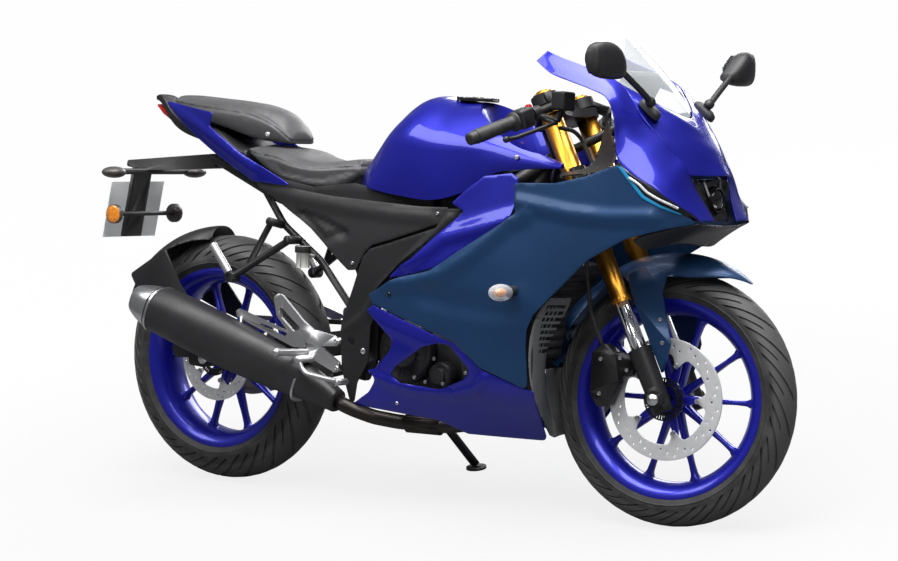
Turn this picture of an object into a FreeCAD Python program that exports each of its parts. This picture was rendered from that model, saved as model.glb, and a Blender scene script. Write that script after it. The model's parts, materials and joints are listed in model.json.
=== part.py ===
import FreeCAD, Part
import math
import os
from FreeCAD import Placement, Rotation, Vector

# A sport motorcycle, in millimetres. It is laid out upright first: X forward, Y to its left, Z up,
# with Z = 0 on the ground. At the end every piece gets the placement of the parked machine, which
# leans on its side stand with the bars turned a little to the left.

doc = FreeCAD.newDocument("SportBike")
sheet = doc.addObject("Spreadsheet::Sheet", "Sizes")

SIZES = [
    ("wheelbase", 1325, "front axle to rear axle"),
    ("front_reach", 662.5, "front axle ahead of the body's own zero"),
    ("tyre_front_radius", 295.9, "100/80-17"),
    ("tyre_front_width", 100, ""),
    ("tyre_rear_radius", 313.9, "140/70-17"),
    ("tyre_rear_width", 140, ""),
    ("rim_radius", 232, "outer edge of the rim flange, 17 inch"),
    ("rim_front_width", 92, "over the flanges"),
    ("rim_rear_width", 122, "over the flanges"),
    ("hub_radius", 34, ""),
    ("spoke_count", 10, ""),
    ("spoke_width", 13, ""),
    ("axle_radius", 7.5, ""),
    ("axle_play", 0.4, "radial room between axle and hub"),
    ("disc_front_radius", 141, ""),
    ("disc_rear_radius", 110, ""),
    ("disc_thickness", 4.5, ""),
    ("disc_front_offset", 62, "disc plane from the middle of the wheel"),
    ("disc_rear_offset", 66, ""),
    ("rake", 25.5, "degrees"),
    ("trail", 88, ""),
    ("fork_spacing", 190, "between the two fork legs"),
    ("fork_outer_radius", 25, ""),
    ("fork_inner_radius", 18.5, ""),
    ("fork_leg_radius", 27, "cast lower leg"),
    ("bar_radius", 11, ""),
    ("grip_radius", 17, ""),
    ("bar_span", 690, "over the bar ends"),
    ("stem_bore", 8, "radius of the hole up the steering stem"),
    ("sprocket_teeth", 48, ""),
    ("drive_teeth", 14, ""),
    ("chain_pitch", 12.7, ""),
    ("chain_offset", 84, "chain line from the middle"),
    ("swing_inner", 97, "inner face of a swingarm arm from the middle"),
    ("swing_wall", 14, "thickness of a swingarm arm"),
    ("pivot_plate_inner", 116, "inner face of a pivot plate from the middle"),
    ("pivot_plate_wall", 12, "thickness of a pivot plate"),
    ("panel", 3, "thickness of a moulded panel"),
    ("park_lean", 11, "degrees to the left"),
    ("park_steer", 6.5, "degrees to the left"),
    ("stand_radius", 11, "tube of the side stand"),
    ("seat_height", 815, "lowest point of the rider's seat, upright"),
]
for row, (name, value, note) in enumerate(SIZES, 1):
    sheet.set("A%d" % row, name)
    sheet.set("B%d" % row, str(value))
    sheet.set("C%d" % row, note)
    sheet.setAlias("B%d" % row, name)
doc.recompute()


def size(name):
    return float(sheet.get(name))


# Driving places worked out from the sizes.
front_x = size("front_reach")
rear_x = front_x - size("wheelbase")
front_axle = Vector(front_x, 0, size("tyre_front_radius"))
rear_axle = Vector(rear_x, 0, size("tyre_rear_radius"))
rake = math.radians(size("rake"))
steer_foot = Vector(front_x + size("trail"), 0, 0)
steer_up = Vector(-math.sin(rake), 0, math.cos(rake))
steer_ahead = Vector(math.cos(rake), 0, math.sin(rake))
fork_offset = (front_axle - steer_foot).dot(steer_ahead)
leg_y = size("fork_spacing") / 2


def steer_axis_at(z):
    return steer_foot + steer_up * (z / steer_up.z)


def fork_at(z, side=1):
    """Middle of a fork leg at height z."""
    point = front_axle + steer_up * ((z - front_axle.z) / steer_up.z)
    return Vector(point.x, side * leg_y, z)


nodes = {}


def keep(name, obj):
    obj.Label = name
    nodes[name] = obj
    return obj


def feature(name, shape):
    obj = doc.addObject("Part::Feature", name)
    if not shape.Placement.isIdentity():
        shape = Part.makeCompound([shape])
    obj.Shape = shape
    return keep(name, obj)


def mirrored(shape):
    return shape.mirror(Vector(0, 0, 0), Vector(0, 1, 0))


def pair(shape):
    """The right-hand piece and its mirror image, as two solids."""
    return Part.makeCompound([shape, mirrored(shape)])


def fused(shapes):
    whole = shapes[0]
    if len(shapes) > 1:
        whole = shapes[0].multiFuse(shapes[1:])
    return whole.removeSplitter()


def rod(start, end, radius, end_radius=None):
    along = end - start
    if end_radius is None or abs(end_radius - radius) < 1e-6:
        return Part.makeCylinder(radius, along.Length, start, along)
    return Part.makeCone(radius, end_radius, along.Length, start, along)


def ring(start, end, outer, inner):
    along = end - start
    hole = Part.makeCylinder(inner, along.Length + 2, start - along.normalize(), end - start)
    return Part.makeCylinder(outer, (end - start).Length, start, end - start).cut(hole)


def post(start, end, radius, against):
    """A rod from start that stops where it meets another piece."""
    whole = rod(start, end, radius).cut(against)
    near = [solid for solid in whole.Solids if solid.distToShape(Part.Vertex(start))[0] < 0.1]
    return near[0]


def prism(outline, y_from, y_to):
    """A flat outline in the side view (x, z), made solid between two depths."""
    points = [Vector(x, y_from, z) for x, z in outline]
    face = Part.Face(Part.makePolygon(points + points[:1]))
    return face.extrude(Vector(0, y_to - y_from, 0))


def rounded_wire(points, radii):
    """Closed wire of straight runs with a tangent arc at each corner."""
    count = len(points)
    starts = []
    edges = []
    for i, corner in enumerate(points):
        before = points[i - 1] - corner
        after = points[(i + 1) % count] - corner
        radius = radii[i] if isinstance(radii, (list, tuple)) else radii
        half = before.getAngle(after) / 2
        reach = min(radius / math.tan(half), 0.45 * min(before.Length, after.Length))
        if reach < 0.05:
            starts.append((corner, corner))
            continue
        first = corner + Vector(before).normalize() * reach
        last = corner + Vector(after).normalize() * reach
        swing = reach * math.tan(half)
        middle_way = (Vector(before).normalize() + Vector(after).normalize()).normalize()
        middle = corner + middle_way * (swing / math.sin(half) - swing)
        starts.append((first, last))
        edges.append(Part.Arc(first, middle, last).toShape())
    for i in range(count):
        start = starts[i][1]
        end = starts[(i + 1) % count][0]
        if (end - start).Length > 1e-4:
            edges.append(Part.LineSegment(start, end).toShape())
    return Part.Wire(Part.__sortEdges__(edges))


def rounded_prism(outline, y_from, y_to, radii):
    points = [Vector(x, y_from, z) for x, z in outline]
    return Part.Face(rounded_wire(points, radii)).extrude(Vector(0, y_to - y_from, 0))


def route(points, bend=None):
    """Open path of straight runs joined by tangent arcs."""
    edges = []
    start = points[0]
    for i in range(1, len(points) - 1):
        corner = points[i]
        before = points[i - 1] - corner
        after = points[i + 1] - corner
        half = before.getAngle(after) / 2
        shorter = min(before.Length, after.Length)
        reach = 0.45 * shorter
        if bend is not None:
            reach = min(reach, bend / math.tan(half))
        swing = reach * math.tan(half)
        first = corner + Vector(before).normalize() * reach
        last = corner + Vector(after).normalize() * reach
        middle_way = (Vector(before).normalize() + Vector(after).normalize()).normalize()
        middle = corner + middle_way * (swing / math.sin(half) - swing)
        edges.append(Part.LineSegment(start, first).toShape())
        edges.append(Part.Arc(first, middle, last).toShape())
        start = last
    edges.append(Part.LineSegment(start, points[-1]).toShape())
    return Part.Wire(edges)


def bent_tube(points, radius, bend=None, inner=None):
    path = route(points, bend)
    along = points[1] - points[0]
    outer_ring = Part.Wire(Part.makeCircle(radius, points[0], along))
    tube = path.makePipeShell([outer_ring], True, False)
    if inner:
        hole_ring = Part.Wire(Part.makeCircle(inner, points[0], along))
        tube = tube.cut(path.makePipeShell([hole_ring], True, False))
    return tube


def spline(points):
    curve = Part.BSplineCurve()
    curve.interpolate(points)
    return curve.toShape()


def skin(rows):
    """Smooth face through rows of points."""
    surface = Part.BSplineSurface()
    surface.interpolate(rows)
    return surface.toShape()


def side_skin(stations, heights, depths):
    """Outer face of a side panel: depths[i][j] is how far out it is at station i, height j."""
    rows = []
    for x, row in zip(stations, depths):
        rows.append([Vector(x, -depth, z) for z, depth in zip(heights, row)])
    return skin(rows)


def side_panel(outline, radii, stations, heights, depths, thickness):
    """A moulded side panel: a smooth skin of even thickness, cut to its outline."""
    face = side_skin(stations, heights, depths)
    shell = face.extrude(Vector(0, thickness, 0))
    cutter = rounded_prism(outline, -400, 0, radii)
    return shell.common(cutter)


def section(x, half, bottom_flat=True):
    """Closed wire across the machine at x. half runs from the top middle to the bottom:
    corner points (y, z) with a pull point between each two."""
    edges = []
    right = [Vector(x, -y, z) for y, z in half]
    for i in range(0, len(right) - 1, 2):
        curve = Part.BezierCurve()
        curve.setPoles(right[i:i + 3])
        edges.append(curve.toShape())
    left = [Vector(x, y, z) for y, z in half]
    if half[-1][0] > 0:
        edges.append(Part.LineSegment(right[-1], left[-1]).toShape())
    back = list(reversed(left))
    for i in range(0, len(back) - 1, 2):
        curve = Part.BezierCurve()
        curve.setPoles(back[i:i + 3])
        edges.append(curve.toShape())
    return Part.Wire(edges)


def patch(edges, push):
    """A smooth face inside a loop of edges, made solid by pushing it inwards."""
    face = Part.makeFilledFace(Part.__sortEdges__(edges))
    return face.extrude(push)


# Wheels. Each is turned about its own axle, then set on it.

def lathe(profile):
    """Solid of revolution about Y from points (radius, y)."""
    points = [Vector(r, y, 0) for r, y in profile]
    face = Part.Face(Part.makePolygon(points + points[:1]))
    return face.revolve(Vector(0, 0, 0), Vector(0, 1, 0), 360)


def tyre_profile(radius, width, rim_width):
    """Round-crowned tread in flat bands, side walls down to the beads, hollow inside."""
    half = width / 2
    crown = radius - half
    angles = [size("park_lean"), 33, 58, 84]
    bands = [(crown + half * math.cos(math.radians(a)), half * math.sin(math.radians(a))) for a in angles]
    flange = size("rim_radius")
    bead_y = rim_width / 2 - 3.75
    wall = 7
    outer = bands + [(flange + 1, bead_y + 3.7), (flange - 10, bead_y)]
    inner = [(flange - 10, bead_y - wall), (crown + half * 0.72, half * 0.45)]
    loop = outer + inner
    return loop + [(r, -y) for r, y in reversed(loop)]


def rim_profile(width):
    flange = size("rim_radius")
    half = width / 2
    return [(flange, half), (flange - 16, half - 5), (flange - 16, 5 - half), (flange, -half),
            (flange - 6, -half), (flange - 21, 6 - half), (flange - 38, 30 - half),
            (flange - 38, half - 30), (flange - 21, half - 6), (flange - 6, half)]


def rim_shape(width, hub_half):
    """Barrel, hub and thin tapered spokes of a cast wheel, bored for the axle."""
    barrel = lathe(rim_profile(width))
    hub = size("hub_radius")
    bore = size("axle_radius") + size("axle_play")
    hub_solid = lathe([(bore, hub_half), (hub * 0.72, hub_half), (hub, hub_half - 12),
                       (hub, 12 - hub_half), (hub * 0.72, -hub_half), (bore, -hub_half)])
    count = int(size("spoke_count"))
    reach = size("rim_radius") - 30
    wide = size("spoke_width")
    root = [Vector(hub - 6, -17, -wide * 0.75), Vector(hub - 6, 17, -wide * 0.75),
            Vector(hub - 6, 17, wide * 0.75), Vector(hub - 6, -17, wide * 0.75)]
    tip = [Vector(reach, -11, -wide / 2), Vector(reach, 11, -wide / 2),
           Vector(reach, 11, wide / 2), Vector(reach, -11, wide / 2)]
    spoke = Part.makeLoft([Part.makePolygon(root + root[:1]), Part.makePolygon(tip + tip[:1])], True, True)
    spokes = []
    for i in range(count):
        turned = spoke.copy()
        turned.rotate(Vector(0, 0, 0), Vector(0, 1, 0), 360 / count * i)
        spokes.append(turned)
    return fused([barrel, hub_solid] + spokes)


def disc_shape(radius, inner, offset, carrier, holes, hole_radius):
    """Brake disc with slots round the braking band and a five-armed carrier on the hub."""
    half = size("disc_thickness") / 2
    band = Part.makeCylinder(radius, half * 2, Vector(0, offset - half, 0), Vector(0, 1, 0))
    band = band.cut(Part.makeCylinder(inner, 40, Vector(0, offset - 20, 0), Vector(0, 1, 0)))
    hub_ring = Part.makeCylinder(carrier, half * 2, Vector(0, offset - half, 0), Vector(0, 1, 0))
    hub_ring = hub_ring.cut(Part.makeCylinder(carrier - 14, 40, Vector(0, offset - 20, 0), Vector(0, 1, 0)))
    arms = []
    for i in range(5):
        arm = Part.makeBox(inner + 4 - carrier + 6, half * 2, 16, Vector(carrier - 6, offset - half, -8))
        arm.rotate(Vector(0, 0, 0), Vector(0, 1, 0), 72 * i + 18)
        arms.append(arm)
    disc = fused([band, hub_ring] + arms)
    cutters = []
    for i in range(holes):
        spot = Part.makeCylinder(hole_radius, 20, Vector((radius + inner) / 2, offset - 10, 0), Vector(0, 1, 0))
        spot.rotate(Vector(0, 0, 0), Vector(0, 1, 0), 360 / holes * i)
        cutters.append(spot)
    return disc.cut(Part.makeCompound(cutters))


def spacer(offset_from, offset_to, outer):
    """Round boss that carries a disc or sprocket on the hub, bored for the axle."""
    bore = size("axle_radius") + size("axle_play")
    low, high = sorted((offset_from, offset_to))
    return lathe([(outer, high), (outer, low), (bore, low), (bore, high)])


front_rim = feature("front_rim", rim_shape(size("rim_front_width"), 40))
front_profile = tyre_profile(size("tyre_front_radius"), size("tyre_front_width"), size("rim_front_width"))
rear_profile = tyre_profile(size("tyre_rear_radius"), size("tyre_rear_width"), size("rim_rear_width"))
front_tyre = feature("front_tyre", lathe(front_profile))
rear_rim = feature("rear_rim", rim_shape(size("rim_rear_width"), 44))
rear_tyre = feature("rear_tyre", lathe(rear_profile))
front_disc = feature("front_disc", fused([
    disc_shape(size("disc_front_radius"), 107, -size("disc_front_offset"), 60, 20, 5),
    spacer(-40.3, -size("disc_front_offset") + 1, 50)]))
rear_disc = feature("rear_disc", fused([
    disc_shape(size("disc_rear_radius"), 82, -size("disc_rear_offset"), 58, 16, 5),
    spacer(-44.3, -size("disc_rear_offset") + 1, 48)]))

# Chain drive on the left: toothed sprocket on the rear hub, endless chain in one loop.

def pitch_radius(teeth):
    return size("chain_pitch") / (2 * math.sin(math.pi / teeth))


def sprocket_shape(teeth, offset, bore, windows=0):
    pitch = pitch_radius(teeth)
    tip = pitch + 3
    root = pitch - size("chain_pitch") * 0.31
    points = []
    for i in range(teeth):
        for part, radius in ((0.0, root), (0.36, tip), (0.64, tip)):
            angle = 2 * math.pi * (i + part) / teeth
            points.append(Vector(radius * math.cos(angle), offset - 3, radius * math.sin(angle)))
    plate = Part.Face(Part.makePolygon(points + points[:1])).extrude(Vector(0, 6, 0))
    cutters = [Part.makeCylinder(bore, 20, Vector(0, offset - 10, 0), Vector(0, 1, 0))]
    for i in range(windows):
        hole = Part.makeCylinder(15, 20, Vector(pitch * 0.72, offset - 10, 0), Vector(0, 1, 0))
        hole.rotate(Vector(0, 0, 0), Vector(0, 1, 0), 360 / windows * i)
        cutters.append(hole)
    return plate.cut(Part.makeCompound(cutters))


chain_y = size("chain_offset")
rear_sprocket = feature("rear_sprocket", fused([
    sprocket_shape(int(size("sprocket_teeth")), chain_y, 40, 6), spacer(44.3, chain_y + 3, 46)]))

drive_shaft = Vector(-62, 0, 388)


def chain_loop(grow, y_from, y_to):
    """Everything inside the chain's line, grown outwards by so much."""
    big = pitch_radius(int(size("sprocket_teeth"))) + grow
    small = pitch_radius(int(size("drive_teeth"))) + grow
    across = Vector(drive_shaft.x - rear_axle.x, 0, drive_shaft.z - rear_axle.z)
    along = Vector(across).normalize()
    lift = math.acos((big - small) / across.Length)
    up = Vector(-along.z, 0, along.x)
    high = along * math.cos(lift) + up * math.sin(lift)
    low = along * math.cos(lift) - up * math.sin(lift)
    centre_big = Vector(rear_axle.x, y_from, rear_axle.z)
    centre_small = Vector(drive_shaft.x, y_from, drive_shaft.z)
    edges = [
        Part.Arc(centre_big + low * big, centre_big - along * big, centre_big + high * big).toShape(),
        Part.LineSegment(centre_big + high * big, centre_small + high * small).toShape(),
        Part.Arc(centre_small + high * small, centre_small + along * small, centre_small + low * small).toShape(),
        Part.LineSegment(centre_small + low * small, centre_big + low * big).toShape(),
    ]
    return Part.Face(Part.Wire(edges)).extrude(Vector(0, y_to - y_from, 0))


chain_half = 7.5
chain_body = chain_loop(6.2, chain_y - chain_half, chain_y + chain_half)
chain_body = chain_body.cut(chain_loop(-5.6, chain_y - chain_half - 1, chain_y + chain_half + 1))
chain_body = chain_body.cut(chain_loop(3.5, chain_y - 4, chain_y + 4))
chain = feature("chain", chain_body)

# Axles, carried by the fork and by the swingarm. Each is a turned bolt with a head and a nut.

def axle_object(name, centre, reach):
    shank = doc.addObject("Part::Cylinder", name + "_shank")
    shank.setExpression("Radius", "Sizes.axle_radius")
    shank.Height = reach * 2
    shank.Placement = Placement(Vector(centre.x, centre.y - reach, centre.z), Rotation(Vector(1, 0, 0), -90))
    head = doc.addObject("Part::Cylinder", name + "_head")
    head.setExpression("Radius", "Sizes.axle_radius + 5.5")
    head.Height = 9
    head.Placement = Placement(Vector(centre.x, centre.y - reach - 9, centre.z), Rotation(Vector(1, 0, 0), -90))
    nut = doc.addObject("Part::Cylinder", name + "_nut")
    nut.setExpression("Radius", "Sizes.axle_radius + 5.5")
    nut.Height = 9
    nut.Placement = Placement(Vector(centre.x, centre.y + reach, centre.z), Rotation(Vector(1, 0, 0), -90))
    whole = doc.addObject("Part::MultiFuse", name)
    whole.Shapes = [shank, head, nut]
    return keep(name, whole)


def grid_normals(rows):
    """Unit normal at each point of a grid, from its neighbours."""
    normals = []
    for i, row in enumerate(rows):
        line = []
        for j in range(len(row)):
            along = rows[min(i + 1, len(rows) - 1)][j] - rows[max(i - 1, 0)][j]
            across = row[min(j + 1, len(row) - 1)] - row[max(j - 1, 0)]
            line.append(along.cross(across).normalize())
        normals.append(line)
    return normals


def thick_skin(rows, thickness):
    """Smooth shell through a grid of points, thickened on the side that its normals leave."""
    normals = grid_normals(rows)
    under = [[point - normal * thickness for point, normal in zip(row, line)]
             for row, line in zip(rows, normals)]
    surfaces = []
    for grid in (rows, under):
        surface = Part.BSplineSurface()
        surface.interpolate(grid)
        surfaces.append(surface)
    faces = [surface.toShape() for surface in surfaces]
    borders = []
    for surface in surfaces:
        u_low, u_high, v_low, v_high = surface.bounds()
        borders.append([surface.uIso(u_low), surface.uIso(u_high), surface.vIso(v_low), surface.vIso(v_high)])
    for one, other in zip(*borders):
        faces.append(Part.makeRuledSurface(one.toShape(), other.toShape()))
    shell = Part.makeShell(faces)
    shell.sewShape()
    solid = Part.makeSolid(shell)
    if solid.Volume < 0:
        solid.reverse()
    return solid


# Front fork and steering. Pieces are laid out in the steering head's own axes first:
# X ahead across the axis, Z up along it.

def in_head(shape, z):
    """Set a piece that was laid out in the head's axes at height z on the steering axis."""
    shape.Placement = Placement(steer_axis_at(z), Rotation(Vector(0, 1, 0), -size("rake")))
    return shape


leg_top = 408
leg_r = size("fork_leg_radius")
inner_r = size("fork_inner_radius")
outer_r = size("fork_outer_radius")
tube_low = 512
tube_step = 640
tube_top = 990

axle_reach = leg_y + leg_r + 0.5


def lower_leg(side):
    centre = Vector(front_x, side * leg_y, front_axle.z)
    foot = centre - steer_up * 30
    top = fork_at(leg_top, side)
    leg = rod(foot, top, leg_r - 3, leg_r)
    boss = rod(centre - Vector(0, side * 16, 0), centre + Vector(0, side * (leg_r + 0.2), 0), leg_r - 6)
    whole = leg.fuse(boss)
    whole = whole.cut(rod(top - steer_up * 60, top + steer_up, inner_r + 0.1))
    return whole.cut(rod(centre - Vector(0, 60, 0), centre + Vector(0, 60, 0), size("axle_radius") + 0.05))


def outer_tube(side):
    low = fork_at(tube_low, side)
    collar = low + steer_up * 13
    taper = fork_at(tube_step - 30, side)
    step = fork_at(tube_step, side)
    top = fork_at(tube_top, side)
    cap = rod(top, top + steer_up * 6, 15)
    tube = fused([rod(low, collar, outer_r - 1), rod(collar, taper, outer_r - 3.5),
                  rod(taper, step, outer_r - 3.5, outer_r), rod(step, top, outer_r), cap])
    return tube.cut(rod(low - steer_up, low + steer_up * 90, inner_r + 0.1))


def inner_tube(side):
    return rod(fork_at(leg_top, side) - steer_up * 59, fork_at(tube_low, side) + steer_up * 88, inner_r)


fork_lower_legs = feature("fork_lower_legs", Part.makeCompound([lower_leg(-1), lower_leg(1)]))
fork_outer_tubes = feature("fork_outer_tubes", Part.makeCompound([outer_tube(-1), outer_tube(1)]))
fork_inner_tubes = feature("fork_inner_tubes", Part.makeCompound([inner_tube(-1), inner_tube(1)]))
front_axle_bolt = axle_object("front_axle", front_axle, axle_reach)

clamp_low_z = 762
clamp_high_z = 918
clamp_thick = 34


def clamp_shape(thick):
    outline = [(-30, -30), (18, -112), (62, -122), (82, -98), (64, -42), (60, 0)]
    outline = outline + [(x, -y) for x, y in reversed(outline[:-1])]
    points = [Vector(x, y, 0) for x, y in outline]
    plate = Part.Face(rounded_wire(points, 12)).extrude(Vector(0, 0, thick))
    for side in (-1, 1):
        plate = plate.cut(Part.makeCylinder(outer_r + 0.1, thick + 2, Vector(fork_offset, side * leg_y, -1)))
    return plate


def triple_clamp():
    low = in_head(clamp_shape(clamp_thick), clamp_low_z)
    high = in_head(clamp_shape(22), clamp_high_z)
    bar_room = rod(bar_seat + bar_link, bar_start, bar_link_radius + 0.5)
    high = high.cut(bar_room).cut(mirrored(bar_room))
    stem = rod(steer_axis_at(clamp_low_z), steer_axis_at(clamp_high_z + 26), 15.6)
    whole = low.fuse([high, stem])
    return whole.cut(rod(steer_axis_at(clamp_low_z - 40), steer_axis_at(clamp_high_z + 60), size("stem_bore")))


bar_half = size("bar_span") / 2
bar_end = Vector(288, -bar_half, 872)
grip_inner = Vector(350, -215, 927)
bar_way = Vector(grip_inner - bar_end).normalize()
bar_start = grip_inner + bar_way * 104
bar_seat = fork_at(974, -1)
bar_link = Vector(18, -10, 3)
bar_link_radius = 13
triple_clamps = feature("triple_clamps", triple_clamp())


def clip_on():
    seat = bar_seat
    clamp = rod(seat - steer_up * 13, seat + steer_up * 13, outer_r + 7)
    link = rod(seat + bar_link, bar_start, bar_link_radius)
    bar = rod(bar_start - bar_way * -8, bar_end - bar_way * -6, size("bar_radius"))
    whole = clamp.fuse([link, bar])
    return whole.cut(rod(seat - steer_up * 60, seat + steer_up * 60, outer_r + 0.1))


def along_bar(distance):
    """Point on the bar, measured inwards from its end."""
    return bar_end + bar_way * distance


def grip_shape():
    sleeve = rod(along_bar(8), along_bar(118), size("grip_radius"), size("grip_radius") - 1)
    flange = rod(along_bar(118), along_bar(124), size("grip_radius") + 6)
    weight = rod(along_bar(-12), along_bar(7), size("grip_radius") - 3, size("grip_radius") - 1)
    whole = sleeve.fuse([flange, weight])
    return whole.cut(rod(along_bar(5), along_bar(130), size("bar_radius") + 0.1))


def oriented_box(centre, ahead, across, sizes):
    """Box about a centre with its X along ahead and its Y near across."""
    x_way = Vector(ahead).normalize()
    z_way = x_way.cross(across).normalize()
    y_way = z_way.cross(x_way)
    box = Part.makeBox(sizes[0], sizes[1], sizes[2], Vector(-sizes[0] / 2, -sizes[1] / 2, -sizes[2] / 2))
    box.Placement = Placement(centre, Rotation(x_way, y_way, z_way, "XYZ"))
    return box


def switchgear():
    centre = along_bar(150)
    pod = oriented_box(centre, bar_way, Vector(0, 0, 1), (40, 46, 40))
    edges = pod.Edges
    pod = pod.makeFillet(8, edges)
    return pod.cut(rod(along_bar(120), along_bar(180), size("bar_radius") + 0.1))


bars = Part.makeCompound([clip_on(), mirrored(clip_on())])
handlebars = feature("handlebars", bars)
grips = feature("grips", Part.makeCompound([grip_shape(), mirrored(grip_shape())]))
hand_controls = feature("hand_controls", pair(switchgear()))

lever_pivot = Vector(409, -170, 920)
lever_ball = Vector(349, -300, 872)


def lever():
    perch = along_bar(186)
    bracket = rod(perch, lever_pivot, 9)
    ring_clamp = rod(along_bar(176), along_bar(196), size("bar_radius") + 6)
    knee = Vector(400, -205, 908)
    blade = bent_tube([lever_pivot, knee, lever_ball + Vector(14, 22, 6), lever_ball], 5, 40)
    knob = Part.makeSphere(8, lever_ball)
    whole = bracket.fuse([ring_clamp, blade, knob])
    return whole.cut(rod(along_bar(160), along_bar(210), size("bar_radius") + 0.1))


reservoir_base = Vector(421, -165, 945)


def brake_reservoir():
    cup = oriented_box(reservoir_base + Vector(0, 0, 24), Vector(1, -0.4, 0), Vector(0, 1, 0), (44, 40, 44))
    cup = cup.makeFillet(6, cup.Edges)
    neck = rod(lever_pivot + Vector(0, 0, 2), reservoir_base + Vector(0, 0, 6), 8)
    return cup.fuse(neck)


right_lever = fused([lever(), brake_reservoir()])
left_lever = mirrored(lever())
hand_levers = feature("hand_levers", Part.makeCompound([right_lever, left_lever]))


# Front fender: a crowned shell round the tyre, with a bolted leg outside each fork tube.

def round_wheel(centre, angle, radius, y):
    turn = math.radians(angle)
    return Vector(centre.x + radius * math.cos(turn), y, centre.z + radius * math.sin(turn))


fender_stations = [
    # angle from ahead, half width, crown radius, edge radius
    (57, 5, 327, 326), (63, 34, 331, 318), (71, 58, 335, 300), (80, 70, 337, 286),
    (92, 80, 337, 282), (108, 84, 336, 282), (120, 66, 333, 292), (132, 62, 330, 294),
    (150, 60, 326, 291), (168, 58, 320, 288),
]


def fender_shell():
    rows = []
    for angle, wide, crown, edge in fender_stations:
        row = []
        for t in (-1, -0.93, -0.6, 0, 0.6, 0.93, 1):
            radius = edge + (crown - edge) * math.sqrt(max(0, 1 - t * t)) ** 1.2
            row.append(round_wheel(front_axle, angle, radius, wide * t))
        rows.append(row)
    return thick_skin(rows, -size("panel"))


def fender_leg():
    outline = [(566, 577), (612, 598), (668, 588), (657, 537), (664, 505), (683, 422), (665, 348), (640, 400),
               (600, 470)]
    return rounded_prism(outline, -88, -84, 5)


def fork_room(side, gap):
    """Space that a fork leg takes, with so much room round it."""
    low = rod(fork_at(200, side), fork_at(tube_low - 2, side), leg_r + gap)
    return low.fuse(rod(fork_at(tube_low - 4, side), fork_at(760, side), outer_r + gap + 3))


fender_solid = fused([fender_shell(), fender_leg(), mirrored(fender_leg())])
front_fender = feature("front_fender", fender_solid.cut(fork_room(-1, 0.3)).cut(fork_room(1, 0.3)))


def front_caliper_shape():
    outer = rounded_prism([(489, 395), (520, 420), (548, 395), (560, 330), (540, 275), (508, 268), (488, 300)],
                          -96, -68, 12)
    inner = rounded_prism([(489, 395), (520, 415), (540, 395), (545, 330), (530, 285), (508, 280), (488, 300)],
                          -58, -46, 10)
    bridge = rounded_prism([(486, 390), (500, 400), (500, 290), (486, 300)], -70, -52, 3)
    lug = rounded_prism([(540, 400), (585, 395), (600, 372), (590, 345), (550, 340)], -92, -74, 6)
    body = fused([outer, inner, bridge, lug])
    swept = Part.makeCylinder(size("disc_front_radius") + 5, 15, front_axle + Vector(0, -70, 0), Vector(0, 1, 0))
    return body.cut(swept).cut(fork_room(-1, 0.3))


front_caliper = feature("front_caliper", front_caliper_shape())


# Frame, swingarm, engine and what hangs from them.

head_low = clamp_low_z + clamp_thick + 6
head_high = clamp_high_z - 5
pivot = Vector(-148, 0, 392)
swing_in = size("swing_inner")
swing_out = swing_in + size("swing_wall")
plate_in = size("pivot_plate_inner")
plate_out = plate_in + size("pivot_plate_wall")


def main_frame_shape():
    """Head tube, two spars down to the pivot plates, engine cradle and seat rails."""
    head = rod(steer_axis_at(head_low), steer_axis_at(head_high), 29)
    parts = [head]
    for side in (-1, 1):
        spar = bent_tube([Vector(330, side * 20, 842), Vector(232, side * 74, 770), Vector(60, side * 124, 640),
                          Vector(-100, side * 126, 496), Vector(pivot.x + 16, side * 126, 448)], 18, 80)
        down = bent_tube([Vector(322, side * 16, 838), Vector(292, side * 44, 760), Vector(262, side * 86, 620),
                          Vector(236, side * 96, 452)], 13, 60)
        plate = rounded_prism([(-206, 470), (-96, 470), (-100, 350), (-130, 292), (-190, 300), (-206, 380)],
                              min(side * plate_in, side * plate_out), max(side * plate_in, side * plate_out), 12)
        rail = bent_tube([Vector(60, side * 118, 652), Vector(-140, side * 92, 690), Vector(-440, side * 80, 724),
                          Vector(-690, side * 56, 828)], 10, 120)
        strut = bent_tube([Vector(-172, side * 120, 452), Vector(-300, side * 96, 578),
                           Vector(-424, side * 90, 664), Vector(-500, side * 76, 752)], 9, 120)
        hook = Part.makeBox(30, 8, 64, Vector(-210, side * 26.3 - 4, 628))
        parts += [spar, down, plate, rail, strut, hook]
    for x, z, y in ((-172, 452, 120), (-190, 694, 92), (-440, 724, 80), (-690, 828, 56)):
        parts.append(rod(Vector(x, -y, z), Vector(x, y, z), 9))
    whole = fused(parts)
    bore = rod(steer_axis_at(head_low - 30), steer_axis_at(head_high + 30), 16)
    pivot_bore = rod(pivot - Vector(0, 130, 0), pivot + Vector(0, 130, 0), 9)
    return whole.cut(bore).cut(pivot_bore)


main_frame = feature("main_frame", main_frame_shape())


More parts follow.
